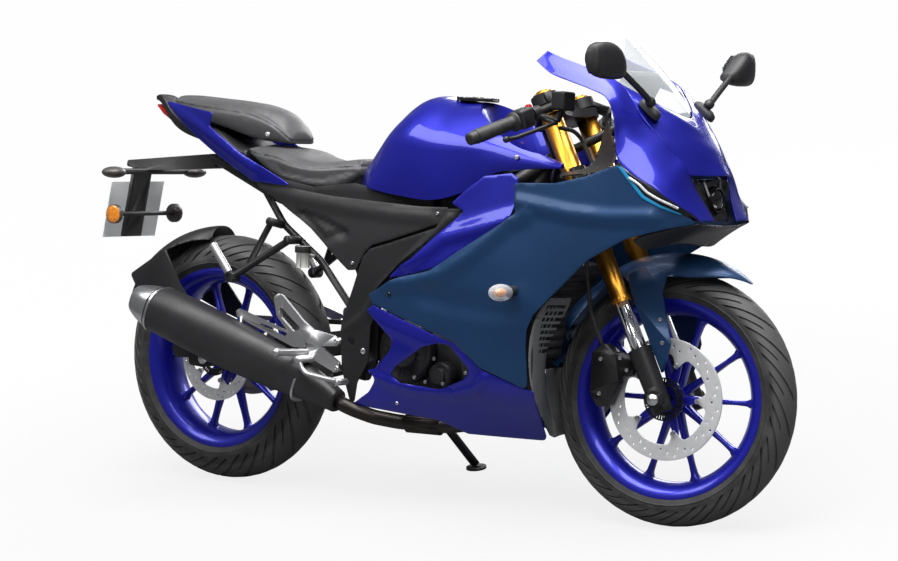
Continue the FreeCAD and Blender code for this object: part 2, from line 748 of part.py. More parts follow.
def swingarm_shape():
    """Pivot tube, two box arms and slotted axle ends."""
    parts = [rod(pivot - Vector(0, swing_out, 0), pivot + Vector(0, swing_out, 0), 16)]
    for side in (-1, 1):
        arm = rounded_prism([(pivot.x - 6, pivot.z + 28), (pivot.x - 10, pivot.z - 26), (-420, 322),
                             (rear_x - 8, rear_axle.z - 22), (rear_x - 52, rear_axle.z - 18),
                             (rear_x - 52, rear_axle.z + 18), (rear_x + 40, rear_axle.z + 26), (-400, 385)],
                            min(side * swing_in, side * swing_out), max(side * swing_in, side * swing_out), 10)
        parts.append(arm)
        parts.append(Part.makeBox(24, 8, 40, Vector(-244, side * 26.3 - 4, 392)))
    cross = Part.makeBox(44, swing_in * 2 + 4, 32, Vector(pivot.x - 94, -swing_in - 2, pivot.z - 22))
    parts.append(cross)
    whole = fused(parts)
    slot = Part.makeBox(44, 300, size("axle_radius") * 2 + 0.1,
                        Vector(rear_x - 22, -150, rear_axle.z - size("axle_radius") - 0.05))
    return whole.cut(slot).cut(rod(pivot - Vector(0, 130, 0), pivot + Vector(0, 130, 0), 9))


swingarm = feature("swingarm", swingarm_shape())
rear_axle_bolt = axle_object("rear_axle", rear_axle, swing_out + 0.3)


def shock_shape():
    low = Vector(-232, 0, 420)
    high = Vector(-196, 0, 640)
    along = Vector(high - low).normalize()
    body = rod(low, high, 14)
    parts = [body, rod(low + along * 20, low + along * 30, 34), rod(high - along * 40, high - along * 30, 34)]
    for i in range(6):
        middle = low + along * (44 + 22 * i)
        torus = Part.makeTorus(28, 5.5, middle, along)
        parts.append(torus)
        parts.append(rod(middle - along * 5, middle + along * 5, 24))
    parts.append(rod(low - Vector(0, 22, 0), low + Vector(0, 22, 0), 12))
    parts.append(rod(high - Vector(0, 22, 0), high + Vector(0, 22, 0), 12))
    return fused(parts)


rear_shock = feature("rear_shock", shock_shape())


def engine_shape():
    """Crankcase, gearbox, inclined finned cylinder and head."""
    case = rounded_prism([(-122, 460), (-118, 330), (-60, 262), (110, 246), (176, 290), (180, 380), (120, 430),
                          (-40, 470)], -96, 96, 22)
    sump = rounded_prism([(-20, 262), (100, 262), (90, 226), (0, 226)], -52, 52, 10)
    case = case.cut(Part.makeBox(140, 60, 160, Vector(-130, 66, 316)))
    tilt = Rotation(Vector(0, 1, 0), 28)
    barrel = Part.makeBox(118, 140, 150, Vector(-59, -70, 0))
    barrel.Placement = Placement(Vector(96, 0, 392), tilt)
    parts = [case, sump, barrel]
    for i in range(7):
        fin = Part.makeBox(134, 156, 4, Vector(-67, -78, 22 + i * 12))
        fin.Placement = Placement(Vector(96, 0, 392), tilt)
        parts.append(fin)
    top = Part.makeBox(104, 120, 62, Vector(-52, -60, 0))
    top.Placement = Placement(Vector(96, 0, 392) + tilt.multVec(Vector(0, 0, 149)), tilt)
    top = top.makeFillet(10, top.Edges)
    parts.append(top)
    parts.append(rod(Vector(drive_shaft.x, 60, drive_shaft.z), Vector(drive_shaft.x, chain_y + 3, drive_shaft.z), 12))
    drive = sprocket_shape(int(size("drive_teeth")), chain_y, 11)
    drive.translate(drive_shaft)
    parts.append(drive)
    return fused(parts)


engine = feature("engine", engine_shape())


def cover_disc(x, z, radius, y_from, y_to, edge):
    cover = Part.makeCylinder(radius, abs(y_to - y_from), Vector(x, y_from, z), Vector(0, y_to - y_from, 0))
    return cover.makeFillet(edge, [cover.Edges[0]] if cover.Edges[0].CenterOfMass.y == y_to else [
        e for e in cover.Edges if abs(e.CenterOfMass.y - y_to) < 1e-6 and e.isClosed()])


def engine_covers_shape():
    """Clutch and water pump covers on the right, generator and sprocket covers on the left."""
    clutch = cover_disc(-20, 372, 78, -96.3, -128, 10)
    cap = cover_disc(-20, 372, 40, -128, -136, 5)
    pump = cover_disc(88, 318, 34, -96.3, -132, 8)
    pump_cap = cover_disc(88, 318, 20, -132, -142, 4)
    right = fused([clutch, cap, pump, pump_cap])
    generator = cover_disc(70, 330, 70, 96.3, 128, 12)
    return Part.makeCompound([right, generator])


engine_covers = feature("engine_covers", engine_covers_shape())


def radiator_shape():
    core = Part.makeBox(26, 250, 210, Vector(-13, -125, -105))
    tank_low = Part.makeBox(30, 262, 22, Vector(-15, -131, -127))
    tank_high = Part.makeBox(30, 262, 22, Vector(-15, -131, 105))
    parts = [core, tank_low, tank_high]
    for i in range(9):
        parts.append(Part.makeBox(5, 246, 4, Vector(12, -123, -94 + i * 22)))
    whole = fused(parts)
    whole.Placement = Placement(Vector(333, 0, 470), Rotation(Vector(0, 1, 0), 14))
    return whole


radiator = feature("radiator", radiator_shape())


def exhaust_pipe_shape():
    """From the front of the cylinder head, down ahead of the engine and back along its right side."""
    port = Vector(228.6, 0, 525.4)
    points = [port, Vector(258, 0, 505), Vector(252, -8, 420), Vector(240, -22, 300), Vector(196, -60, 212),
              Vector(90, -92, 196), Vector(-50, -104, 197), Vector(-108, -126, 206), Vector(-153, -155.6, 224.3),
              Vector(-195.3, -157.9, 239.6)]
    pipe = bent_tube(points, 18, 90)
    sleeve = rod(Vector(70, -95, 197), Vector(-20, -104, 198), 25)
    flange = rod(port, port + Vector(5.3, 0, -2.8), 25)
    return fused([pipe, sleeve, flange])


exhaust_pipe = feature("exhaust_pipe", exhaust_pipe_shape())


def muffler_ring(middle, along, wide, tall, corner=0.75):
    """Rounded outline across the silencer: wide is its half depth, tall its half height."""
    side = Vector(0, 1, 0)
    up = along.cross(side).normalize()
    if up.z < 0:
        up = up * -1
    points = []
    for turn in range(0, 360, 30):
        c, s = math.cos(math.radians(turn)), math.sin(math.radians(turn))
        reach = (abs(c) ** 2.6 + abs(s) ** 2.6) ** (-1 / 2.6)
        points.append(middle + side * (wide * reach * c) + up * (tall * reach * s))
    curve = Part.BSplineCurve()
    curve.interpolate(points, PeriodicFlag=True)
    return Part.Wire(curve.toShape())


def muffler_shape():
    front = Vector(-200, -160, 240)
    rear = Vector(-757, -190, 441)
    along = Vector(rear - front).normalize()
    rings = [
        muffler_ring(Vector(-196, -158, 240), along, 27, 27),
        muffler_ring(Vector(-300, -166, 286), along, 34, 46),
        muffler_ring(Vector(-470, -178, 346), along, 48, 60),
        muffler_ring(Vector(-600, -186, 392), along, 56, 62),
        muffler_ring(Vector(-752, -190, 442), along, 56, 58),
    ]
    return Part.makeLoft(rings, True)


muffler = feature("muffler", muffler_shape())


def muffler_tip_shape():
    along = Vector(-557, -30, 201).normalize()
    start = Vector(-752, -190, 442) + along * 0.4
    rings = [muffler_ring(start, along, 53, 55), muffler_ring(start + along * 40, along, 46, 46),
             muffler_ring(start + along * 66, along, 34, 36)]
    tip = Part.makeLoft(rings, True)
    outlet = rod(start + along * 30, start + along * 80, 22)
    return tip.cut(outlet)


muffler_tip = feature("muffler_tip", muffler_tip_shape())


# Tank, seats and tail.

def ring_through(points):
    curve = Part.BSplineCurve()
    curve.interpolate(points, PeriodicFlag=True)
    return Part.Wire(curve.toShape())


tank_stations = [
    # x, then (y, z) from the top middle out to the lower edge: corner, pull, corner, ...
    (-186, [(0, 826), (22, 826), (44, 822), (62, 816), (70, 806), (78, 790), (84, 772), (70, 764), (0, 762)]),
    (-140, [(0, 892), (34, 890), (60, 872), (92, 850), (104, 818), (122, 790), (124, 764), (80, 756), (0, 754)]),
    (-92, [(0, 938), (44, 936), (74, 914), (112, 896), (122, 858), (138, 800), (136, 756), (80, 750), (0, 748)]),
    (-30, [(0, 982), (56, 980), (90, 950), (128, 930), (140, 880), (150, 810), (146, 748), (90, 744), (0, 744)]),
    (90, [(0, 978), (60, 976), (98, 948), (136, 920), (150, 872), (158, 800), (156, 742), (100, 742), (0, 742)]),
    (180, [(0, 968), (56, 966), (96, 940), (134, 912), (150, 868), (156, 820), (154, 768), (100, 762), (0, 762)]),
    (250, [(0, 945), (50, 944), (92, 926), (132, 904), (150, 862), (157, 836), (155, 806), (100, 800), (0, 800)]),
    (330, [(0, 905), (50, 904), (90, 892), (138, 880), (152, 850), (158, 836), (157, 818), (100, 814), (0, 814)]),
    (438, [(0, 842), (50, 842), (90, 840), (140, 838), (153, 830), (157, 826), (156, 822), (100, 820), (0, 820)]),
]


def tank_shape():
    """Lofted across the machine, opened round the steering head and hollowed beneath for the frame."""
    body = Part.makeLoft([section(x, half) for x, half in tank_stations], True, False)
    head_room = rod(steer_axis_at(700), steer_axis_at(1100), 144)
    front_room = Part.makeBox(300, 284, 300, Vector(steer_axis_at(900).x, -142, 760))
    tunnel = rounded_prism([(-160, 700), (-160, 784), (20, 812), (200, 826), (330, 860), (520, 900), (520, 700)],
                           -88, 88, 10)
    return body.cut(head_room.fuse(front_room)).cut(tunnel)


tank_solid = tank_shape()
cap_hinge = Vector(146, 0, 978)
cap_middle = Vector(96, 0, 976)
cap_radius = 44


def cap_axis():
    return Vector(-0.055, 0, -1).normalize()


def fuel_cap_shapes(tank):
    """Flush round cap in a collar on the tank, hinged at its front edge."""
    up = cap_axis() * -1
    well = rod(cap_middle + up * 2, cap_middle + up * 40, cap_radius + 8)
    tank = tank.cut(well)
    tank = tank.cut(rod(cap_middle - up * 8, cap_middle + up * 10, 22))
    lid = rod(cap_middle + up * 2.6, cap_middle + up * 10, cap_radius)
    lid = lid.makeFillet(2, [e for e in lid.Edges if e.isClosed() and e.CenterOfMass.z > lid.CenterOfMass.z])
    lock = rod(cap_middle + up * 10, cap_middle + up * 12, 14)
    pin_half = Vector(0, 11, 0)
    pin = rod(cap_hinge - pin_half, cap_hinge + pin_half, 3)
    web = Part.makeBox(10, 16, 3, cap_hinge + Vector(-10, -8, -1.5))
    tank = tank.cut(rod(cap_hinge - pin_half * 1.1, cap_hinge + pin_half * 1.1, 4))
    return tank, lid.multiFuse([lock, pin, web])


tank_solid, cap_solid = fuel_cap_shapes(tank_solid)
fuel_tank = feature("fuel_tank", tank_solid)
fuel_cap = feature("fuel_cap", cap_solid)

seat_stations = [
    # x, top middle z, top edge z, half width, lower edge z, bottom z
    (-205, 832, 826, 66, 800, 790),
    (-250, 828, 822, 88, 770, 760),
    (-312, 822, 818, 112, 762, 756),
    (-380, 832, 826, 126, 772, 768),
    (-434, 850, 842, 128, 790, 786),
    (-490, 858, 850, 120, 822, 816),
    (-540, 864, 858, 104, 846, 842),
]


def cushion(stations):
    wires = []
    for x, top, shoulder, wide, low, bottom in stations:
        drop = shoulder - (shoulder - low) * 0.2
        half = [(0, top), (wide * 0.55, top), (wide * 0.8, shoulder), (wide, shoulder), (wide, drop),
                (wide, low), (wide * 0.9, bottom), (wide * 0.5, bottom), (0, bottom)]
        wires.append(section(x, half))
    return Part.makeLoft(wires, True, False)


rider_seat = feature("rider_seat", cushion(seat_stations))

pillion_stations = [
    (-436, 898, 884, 52, 868, 864),
    (-470, 936, 914, 70, 872, 868),
    (-532, 962, 944, 84, 880, 876),
    (-600, 972, 956, 90, 900, 896),
    (-720, 982, 968, 80, 930, 926),
    (-836, 992, 982, 50, 970, 966),
]
pillion_seat = feature("pillion_seat", cushion(pillion_stations))


def tail_panel():
    outline = [(-849, 974), (-637, 943), (-643, 908), (-533, 845), (-352, 762), (-486, 772), (-617, 836), (-760, 915)]
    stations = (-900, -850, -750, -640, -530, -350)
    heights = (740, 840, 900, 990)
    depths = [(20, 35, 45, 40), (42, 57, 64, 56), (78, 92, 96, 88), (106, 122, 127, 116), (130, 141, 140, 128),
              (150, 153, 149, 140)]
    return side_panel(outline, 6, stations, heights, depths, size("panel"))


tail_panels = feature("tail_panels", pair(tail_panel()))

tail_stations = [
    (-921, 987, 986, 12, 978, 976),
    (-880, 984, 982, 32, 962, 956),
    (-842, 958, 952, 48, 930, 922),
    (-720, 916, 912, 72, 880, 872),
    (-620, 882, 880, 92, 830, 822),
    (-546, 852, 850, 102, 806, 798),
]




def tail_lamp_shape():
    return rounded_prism([(-924, 974), (-880, 950), (-812, 902), (-822, 898), (-890, 940)], -20, 20, 3)


tail_lamp = feature("tail_lamp", tail_lamp_shape())
tail_unit = feature("tail_unit", cushion(tail_stations).cut(tail_lamp_shape()))


def plate_holder_shape():
    """Arm under the tail, drop bracket, plate carrier and the cross bar for the reflectors."""
    arm = rounded_prism([(-699.3, 838), (-780, 832), (-1000, 816), (-1004, 800), (-940, 790), (-700, 800)],
                        -34, 34, 6)
    drop = Part.makeBox(10, 70, 190, Vector(-5, -35, -190))
    drop.Placement = Placement(Vector(-977, 0, 800), Rotation(Vector(0, 1, 0), 12))
    bar = rod(Vector(-968, -112, 675), Vector(-968, 112, 675), 6)
    stalk = rod(Vector(-938, -130, 787), Vector(-938, 130, 787), 8)
    links = [rod(Vector(-966, y, 675), Vector(-1000, y, 675), 5) for y in (-20, 20)]
    return fused([arm, drop, bar, stalk] + links)


plate_holder = feature("plate_holder", plate_holder_shape())


plate_middle = Vector(-1008, 0, 686)
plate_turn = Rotation(Vector(0, 1, 0), 12)


def number_plate_shape():
    plate = Part.makeBox(2, 206, 150, Vector(-1, -103, -75))
    plate.Placement = Placement(plate_middle, plate_turn)
    return plate


number_plate = feature("number_plate", number_plate_shape())


def rear_indicator():
    lens = Part.makeSphere(1)
    matrix = FreeCAD.Matrix()
    matrix.scale(30, 34, 15)
    lens = lens.transformGeometry(matrix)
    lens.translate(Vector(-934, -160, 785))
    return lens.cut(rod(Vector(-938, -131, 787), Vector(-938, 0, 787), 8.1))


def reflector_shape():
    disc = rod(Vector(-968, -113, 675), Vector(-968, -124, 675), 25)
    return disc


rear_signals = feature("rear_signals", Part.makeCompound(
    [rear_indicator(), mirrored(rear_indicator()), reflector_shape(), mirrored(reflector_shape())]))


hugger_stations = [(96, 50, 339), (104, 84, 342), (120, 92, 344), (140, 92, 344), (152, 84, 342), (162, 56, 340)]


def hugger_shape():
    rows = []
    for angle, wide, crown in hugger_stations:
        row = []
        for t in (-1, -0.7, 0, 0.7, 1):
            radius = crown - 34 * abs(t) ** 3
            row.append(round_wheel(rear_axle, angle, radius, wide * t))
        rows.append(row)
    shell = thick_skin(rows, -size("panel"))
    brace = []
    for side in (-1, 1):
        start, end = sorted((side * 92.3, side * 96.3))
        brace.append(rounded_prism([(-812, 590), (-930, 520), (-900, 470), (-800, 430), (-705, 400), (-680, 328),
                                    (-650, 330), (-690, 420), (-760, 500)], start, end, 8))
    return Part.makeCompound([shell] + brace)


rear_hugger = feature("rear_hugger", hugger_shape())


def rear_caliper_shape():
    body = rounded_prism([(-788, 330), (-776, 378), (-740, 388), (-718, 372), (-718, 330), (-735, 312),
                          (-775, 310)], -92, -50, 8)
    lug = rounded_prism([(-750, 350), (-702, 330), (-702, 304), (-740, 316)], 0.3 - swing_in, -82, 5)
    body = body.fuse(lug)
    ears = Part.makeCylinder(size("disc_rear_radius") + 5, 15, rear_axle + Vector(0, -73.5, 0), Vector(0, 1, 0))
    return body.cut(ears)


rear_caliper = feature("rear_caliper", rear_caliper_shape())


# Fairings.

def side_fairing():
    outline = [(-82, 509), (-70, 488), (19, 460), (155, 418), (184, 410), (260, 354), (395, 312), (390, 411),
               (394, 451), (413, 486), (451, 522), (555, 616), (649, 668), (725, 691), (779, 705), (756, 738),
               (698, 784), (657, 809), (618, 834), (540, 806), (456, 789), (341, 787), (352, 718), (312, 691),
               (217, 637), (108, 574), (17, 555), (-9, 547)]
    radii = [4, 4, 20, 20, 20, 20, 12, 60, 30, 40, 60, 90, 90, 60, 4, 30, 40, 40, 4, 60, 60, 8, 8, 40, 60, 60, 10, 10]
    stations = (-110, 60, 200, 340, 480, 620, 710, 790)
    heights = (290, 400, 500, 600, 700, 850)
    depths = [(176, 184, 189, 188, 180, 168), (195, 200, 204, 203, 196, 184), (206, 210, 215, 216, 209, 190),
              (212, 217, 224, 222, 212, 197), (214, 218, 223, 223, 217, 201), (205, 211, 218, 220, 217, 205),
              (176, 182, 188, 192, 190, 178), (100, 104, 108, 112, 114, 104)]
    return side_panel(outline, radii, stations, heights, depths, size("panel"))


def lower_fairing():
    outline = [(-91, 471), (-7, 402), (-16, 378), (-67, 330), (-93, 325), (-65, 307), (-93, 271), (-150, 237),
               (99, 215), (171, 186), (381, 184), (397, 239), (408, 306), (260, 350), (183, 406), (154, 414),
               (18, 456), (-71, 484)]
    radii = [3, 20, 20, 30, 3, 10, 30, 4, 60, 20, 20, 40, 8, 20, 20, 20, 20, 3]
    stations = (-170, -40, 80, 200, 320, 430)
    heights = (175, 240, 300, 360, 430, 500)
    depths = [(110, 158, 170, 176, 178, 176), (118, 162, 178, 186, 190, 190), (120, 162, 188, 198, 202, 202),
              (116, 160, 194, 206, 211, 212), (104, 158, 202, 212, 216, 218), (84, 158, 206, 215, 219, 220)]
    shell = side_panel(outline, radii, stations, heights, depths, size("panel"))
    window = [(-21, 318), (0, 341), (85, 392), (136, 405), (171, 402), (230, 344), (204, 321), (133, 293), (12, 301)]
    return shell.cut(rounded_prism(window, -400, 0, [10, 20, 30, 20, 20, 16, 20, 30, 20]))


side_fairings = feature("side_fairings", pair(side_fairing()))
lower_fairings = feature("lower_fairings", pair(lower_fairing()))


def tank_side_panel():
    outline = [(148, 735), (183, 764), (237, 800), (318, 809), (338, 796), (338, 737), (331, 709), (283, 677),
               (203, 630), (116, 582), (23, 559), (-26, 552), (10, 581), (46, 600), (106, 651), (188, 716)]
    stations = (-60, 60, 160, 260, 370)
    heights = (530, 600, 660, 730, 820)
    depths = [(186, 184, 180, 172, 164), (197, 192, 185, 176, 166), (205, 201, 192, 179, 168),
              (211, 209, 202, 188, 172), (216, 215, 209, 197, 180)]
    return side_panel(outline, [4, 20, 30, 10, 8, 10, 20, 60, 60, 40, 10, 3, 20, 20, 40, 6], stations, heights,
                      depths, size("panel"))


tank_side_panels = feature("tank_side_panels", pair(tank_side_panel()))


def side_cover():
    outline = [(-498, 768), (-366, 757), (-239, 742), (-100, 733), (40, 724), (126, 724), (99, 684), (-43, 641),
               (-98, 627), (-121, 609), (-150, 564), (-175, 562), (-201, 581), (-303, 661), (-430, 735)]
    stations = (-520, -350, -200, -50, 150)
    heights = (550, 640, 700, 790)
    depths = [(116, 120, 124, 122), (134, 137, 137, 130), (150, 150, 146, 138), (160, 161, 158, 148),
              (164, 164, 161, 153)]
    cover = side_panel(outline, [4, 60, 60, 60, 60, 4, 20, 40, 20, 20, 12, 12, 30, 60, 20], stations, heights,
                       depths, size("panel"))
    return cover


side_covers = feature("side_covers", pair(side_cover()))


def pivot_cover():
    outline = [(176, 722), (148, 688), (0, 588), (-80, 512), (-62, 472), (-88, 432), (-97, 346), (-138, 290),
               (-152, 242), (-165, 242), (-184, 318), (-182, 434), (-146, 520), (-116, 598), (-96, 618), (-42, 632),
               (103, 675), (130, 721)]
    stations = (-200, -100, 0, 100, 200)
    heights = (230, 350, 450, 560, 650, 740)
    depths = [(146, 160, 164, 162, 160, 158), (150, 168, 174, 174, 168, 162), (152, 171, 177, 179, 174, 168),
              (154, 172, 178, 180, 176, 170), (155, 172, 178, 180, 177, 172)]
    cover = side_panel(outline, [6, 20, 60, 12, 10, 30, 30, 30, 6, 6, 30, 20, 60, 20, 20, 30, 10, 6], stations,
                       heights, depths, size("panel"))
    return cover.cut(rod(Vector(pivot.x, -300, pivot.z), Vector(pivot.x, 0, pivot.z), 15))


stand_tilt = math.radians(20)
stand_axis = Vector(0, math.cos(stand_tilt), math.sin(stand_tilt))
stand_pivot = Vector(-172, 142, 252)
stand_room = rod(stand_pivot - stand_axis * 40, stand_pivot + stand_axis * 60, 27)
pipe_room = rod(Vector(-100, -123, 204), Vector(-196, -158.5, 240), 23)
pivot_covers = feature("pivot_covers", Part.makeCompound(
    [pivot_cover().cut(pipe_room), mirrored(pivot_cover()).cut(stand_room)]))


cowl_cheek = [
    # inner point on the screen's edge and then the crease, outer point on the lower edge, bulge
    ((400, -161, 1092), (376, -170, 1068), 0), ((440, -157, 1074), (420, -180, 1040), 2),
    ((480, -151, 1060), (476, -184, 1021), 3), ((535, -142, 1038), (533, -187, 1003), 4),
    ((582, -132, 1014), (577, -191, 984), 5), ((613, -134, 976), (601, -196, 939), 6),
    ((636, -134, 944), (609, -201, 890), 6), ((662, -129, 914), (622, -204, 842), 6),
    ((689, -120, 885), (657, -196, 811), 6), ((713, -106, 857), (698, -180, 785), 5),
    ((735, -96, 830), (722, -166, 764), 4), ((742, -84, 800), (742, -150, 748), 3),
    ((752, -74, 772), (756, -136, 735), 2), ((762, -64, 744), (770, -118, 722), 1),
]
cowl_hood = [
    # from the crease to the middle, top row along the screen's lower edge
    ((582, -132, 1014), (621, -96, 987), (662, -46, 957), (685, 0, 940)),
    ((613, -134, 976), (656, -96, 956), (694, -48, 935), (712, 0, 916)),
    ((636, -134, 944), (682, -94, 926), (716, -47, 904), (732, 0, 890)),
    ((662, -129, 914), (702, -90, 898), (734, -45, 880), (748, 0, 870)),
    ((689, -120, 885), (722, -82, 872), (748, -41, 858), (760, 0, 850)),
    ((713, -106, 857), (740, -72, 846), (760, -36, 836), (771, 0, 832)),
    ((742, -90, 812), (760, -62, 811), (776, -31, 811), (784, 0, 812)),
]


cowl_seam = 4.4


def both_sides(rows):
    """Rows that run from the right-hand edge to the middle, carried on to the left-hand edge."""
    full = []
    for row in rows:
        right = [Vector(*point) for point in row]
        left = [Vector(point.x, -point.y, point.z) for point in reversed(right[:-1])]
        full.append(right + left)
    return full


def upper_cowl_shape():
    """Nose cowl in three faces: a hood below the screen and a cheek on each side of it."""
    rows = []
    for inner, outer, bulge in cowl_cheek:
        inner, outer = Vector(*inner), Vector(*outer)
        middle = (inner + outer) / 2 + Vector(0.3, -1, 0.2) * bulge
        rows.append([inner, middle, outer])
    cheek = thick_skin(rows, size("panel"))
    hood_rows = []
    for row in cowl_hood:
        edge, second = Vector(*row[0]), Vector(*row[1])
        edge = edge + (second - edge).normalize() * cowl_seam
        hood_rows.append([edge] + [Vector(*point) for point in row[1:]])
    hood = thick_skin(both_sides(hood_rows), -size("panel"))
    return Part.makeCompound([hood, cheek, mirrored(cheek)])


upper_cowl = feature("upper_cowl", upper_cowl_shape())

screen_rows = [
    ((580, -130.3, 1018), (619, -94, 991), (660, -45, 961), (683, 0, 944)),
    ((534, -138, 1041), (575, -100, 1031), (615, -50, 1016), (634, 0, 1006)),
    ((478, -146, 1064), (516, -110, 1074), (548, -56, 1080), (562, 0, 1082)),
    ((414, -152, 1090), (441, -112, 1118), (470, -56, 1144), (485, 0, 1156)),
]
windscreen = feature("windscreen", thick_skin(both_sides(screen_rows), -size("panel")))


def headlamp_shape():
    """Dark housing in the nose with a projector lens, and a running lamp along each cheek."""
    outline = [(-84, 802), (84, 802), (44, 708), (-44, 708)]
    points = [Vector(690, y, z) for y, z in outline]
    block = Part.Face(rounded_wire(points, 6)).extrude(Vector(110, 0, 0))
    block = block.common(rounded_prism([(680, 830), (738, 830), (774, 690), (680, 690)], -200, 200, 1))
    eye = rod(Vector(700, 0, 757), Vector(762, 0, 757), 25)
    socket = rod(Vector(735, 0, 757), Vector(800, 0, 757), 31)
    housing = block.cut(socket).fuse(eye)
    return housing


def running_lamp():
    points = [Vector(626, -197, 830.5), Vector(660, -189, 804.5), Vector(699, -173, 778.5), Vector(735, -151, 748.5)]
    return bent_tube(points, 4, 200)


headlamp = feature("headlamp", Part.makeCompound([headlamp_shape(), running_lamp(), mirrored(running_lamp())]))


def grid_panel(rows, thickness):
    return thick_skin([[Vector(*point) for point in row] for row in rows], thickness)


def chin_shape():
    """Dark underside of the nose, from the lamp back to the fork."""
    rows = [
        [(778, -108, 706), (792, -50, 701), (797, 0, 700), (792, 50, 701), (778, 108, 706)],
        [(720, -172, 690), (722, -80, 676), (722, 0, 676), (722, 80, 676), (720, 172, 690)],
        [(660, -198, 668), (664, -110, 648), (664, 0, 656), (664, 110, 648), (660, 198, 668)],
    ]
    return grid_panel(rows, -size("panel"))


def inner_panel():
    rows = [
        [(590, -186, 940), (572, -166, 934), (556, -150, 930)],
        [(605, -197, 891), (572, -170, 884), (544, -152, 880)],
        [(613, -201, 847), (570, -174, 842), (530, -154, 846)],
        [(545, -192, 812), (520, -172, 812), (498, -154, 820)],
        [(462, -188, 796), (448, -172, 800), (436, -156, 808)],
    ]
    return grid_panel(rows, size("panel"))


inner_panels = feature("inner_panels", Part.makeCompound([chin_shape(), inner_panel(), mirrored(inner_panel())]))


def shroud_shape():
    """Panel from the fairing's front edge in to the radiator, louvred beside the core."""
    rows = [
        [(455, -212, 524), (462, -182, 524), (470, -152, 524)],
        [(414, -210, 480), (434, -176, 474), (444, -152, 470)],
        [(394, -206, 420), (410, -178, 420), (414, -152, 418)],
        [(393, -204, 360), (400, -168, 357), (380, -116, 353)],
        [(398, -196, 310), (396, -154, 300), (360, -76, 287)],
        [(394, -145, 240), (383, -111, 237), (366, -62, 232)],
        [(385, -96, 196), (385, -84, 193), (382, -68, 190)],
    ]
    panel = grid_panel(rows, size("panel"))
    slots = []
    for i in range(8):
        slots.append(Part.makeBox(140, 46, 9, Vector(360, -202 + 3 * i, 500 - 15 * i)))
    panel = panel.cut(Part.makeCompound(slots)).cut(lower_fairing())
    return max(panel.Solids, key=lambda solid: solid.Volume)


radiator_shrouds = feature("radiator_shrouds", pair(shroud_shape()))


def front_indicator():
    matrix = FreeCAD.Matrix()
    matrix.scale(22, 33, 20)
    lens = Part.makeSphere(1).transformGeometry(matrix)
    lens.rotate(Vector(0, 0, 0), Vector(0, 0, 1), -14)
    lens.translate(Vector(350, -264, 536))
    stub = post(Vector(356, -248, 538), Vector(362, -200, 540), 12, side_fairing())
    return lens.fuse(stub)


front_signals = feature("front_signals", pair(front_indicator()))


def mirror_shape():
    outline = [(-362, 1044), (-361, 1090), (-348, 1104), (-292, 1102), (-246, 1070), (-252, 1030), (-300, 1022),
               (-350, 1030)]
    centre_y, centre_z = -304, 1064
    wires = []
    for x, grow in ((626, 0.96), (632, 1.0), (655, 0.94), (680, 0.62)):
        points = [Vector(x, centre_y + (y - centre_y) * grow, centre_z + (z - centre_z) * grow) for y, z in outline]
        wires.append(rounded_wire(points, 9))
    head = Part.makeLoft(wires, True, False)
    arm = rod(Vector(652, -262, 1046), Vector(662, -124, 972), 11, 8)
    foot = oriented_box(Vector(654.3, -121.3, 961.2), Vector(0.75, 0, -0.65), Vector(0, 1, 0), (52, 26, 14))
    return fused([head, arm, foot])


mirrors = feature("mirrors", pair(mirror_shape()))


def cowl_stay():
    """Bracket forward from the head tube to the dash and the two mirrors."""
    neck = [rod(Vector(366, 0, 862), Vector(520, 0, 930), 11), rod(Vector(520, 0, 930), Vector(534, 0, 1000), 8)]
    for side in (-1, 1):
        neck.append(rod(Vector(520, 0, 930), Vector(628, side * 112, 952), 7))
    return neck


def dash_shape():
    box = oriented_box(Vector(545, 0, 1009), Vector(0.87, 0, -0.5), Vector(0, 1, 0), (30, 150, 84))
    return box.makeFillet(8, box.Edges).cut(cowl_stay()[1])


dash = feature("dash", dash_shape())


def hanger_plate():
    """Cast bracket beside the pivot: heel guard, two bolted arms and the arm out to the silencer."""
    pieces = [
        rounded_prism([(-394, 486), (-381, 497), (-366, 492), (-300, 432), (-258, 405), (-262, 372), (-330, 388),
                       (-384, 440)], -166, -158, 6),
        rounded_prism([(-280, 408), (-262, 412), (-200, 400), (-188, 388), (-196, 376), (-262, 372)],
                      -166, -158, 6),
        rounded_prism([(-290, 385), (-262, 385), (-188, 336), (-186, 318), (-200, 311), (-284, 345)],
                      -166, -158, 6),
        rounded_prism([(-505, 452), (-516, 446), (-510, 432), (-330, 366), (-290, 366), (-296, 388)],
                      -166, -158, 6),
    ]
    plate = fused(pieces)
    plate = plate.cut(rounded_prism([(-378, 470), (-306, 412), (-330, 404), (-370, 438)], -200, -100, 5))
    plate = plate.cut(rounded_prism([(-470, 428), (-360, 390), (-350, 396), (-350, 400)], -200, -100, 2))
    bosses = [rod(Vector(-197, -plate_out - 0.3, 388), Vector(-197, -160, 388), 8),
              rod(Vector(-195, -plate_out - 0.3, 322), Vector(-195, -160, 322), 8)]
    return fused([plate] + bosses)


def footrest(side):
    peg = rod(Vector(-288, -164, 355), Vector(-326, -236, 357), 9)
    knob = Part.makeSphere(11, Vector(-326, -236, 357))
    pedal = bent_tube([Vector(-279, -209, 340), Vector(-262, -209, 309), Vector(-200, -209, 300),
                       Vector(-146, -209, 294)], 6, 40)
    pad = rod(Vector(-146, -190, 294), Vector(-146, -230, 294), 8)
    stub = rod(Vector(-279, -158, 340), Vector(-279, -217, 340), 10)
    return fused([hanger_plate(), peg, knob, stub, pedal, pad])


muffler_hook = post(Vector(-498, -162, 434), Vector(-498, -168, 370), 6, muffler.Shape)
footrests = feature("footrests", Part.makeCompound([footrest(-1).fuse(muffler_hook), mirrored(footrest(-1))]))


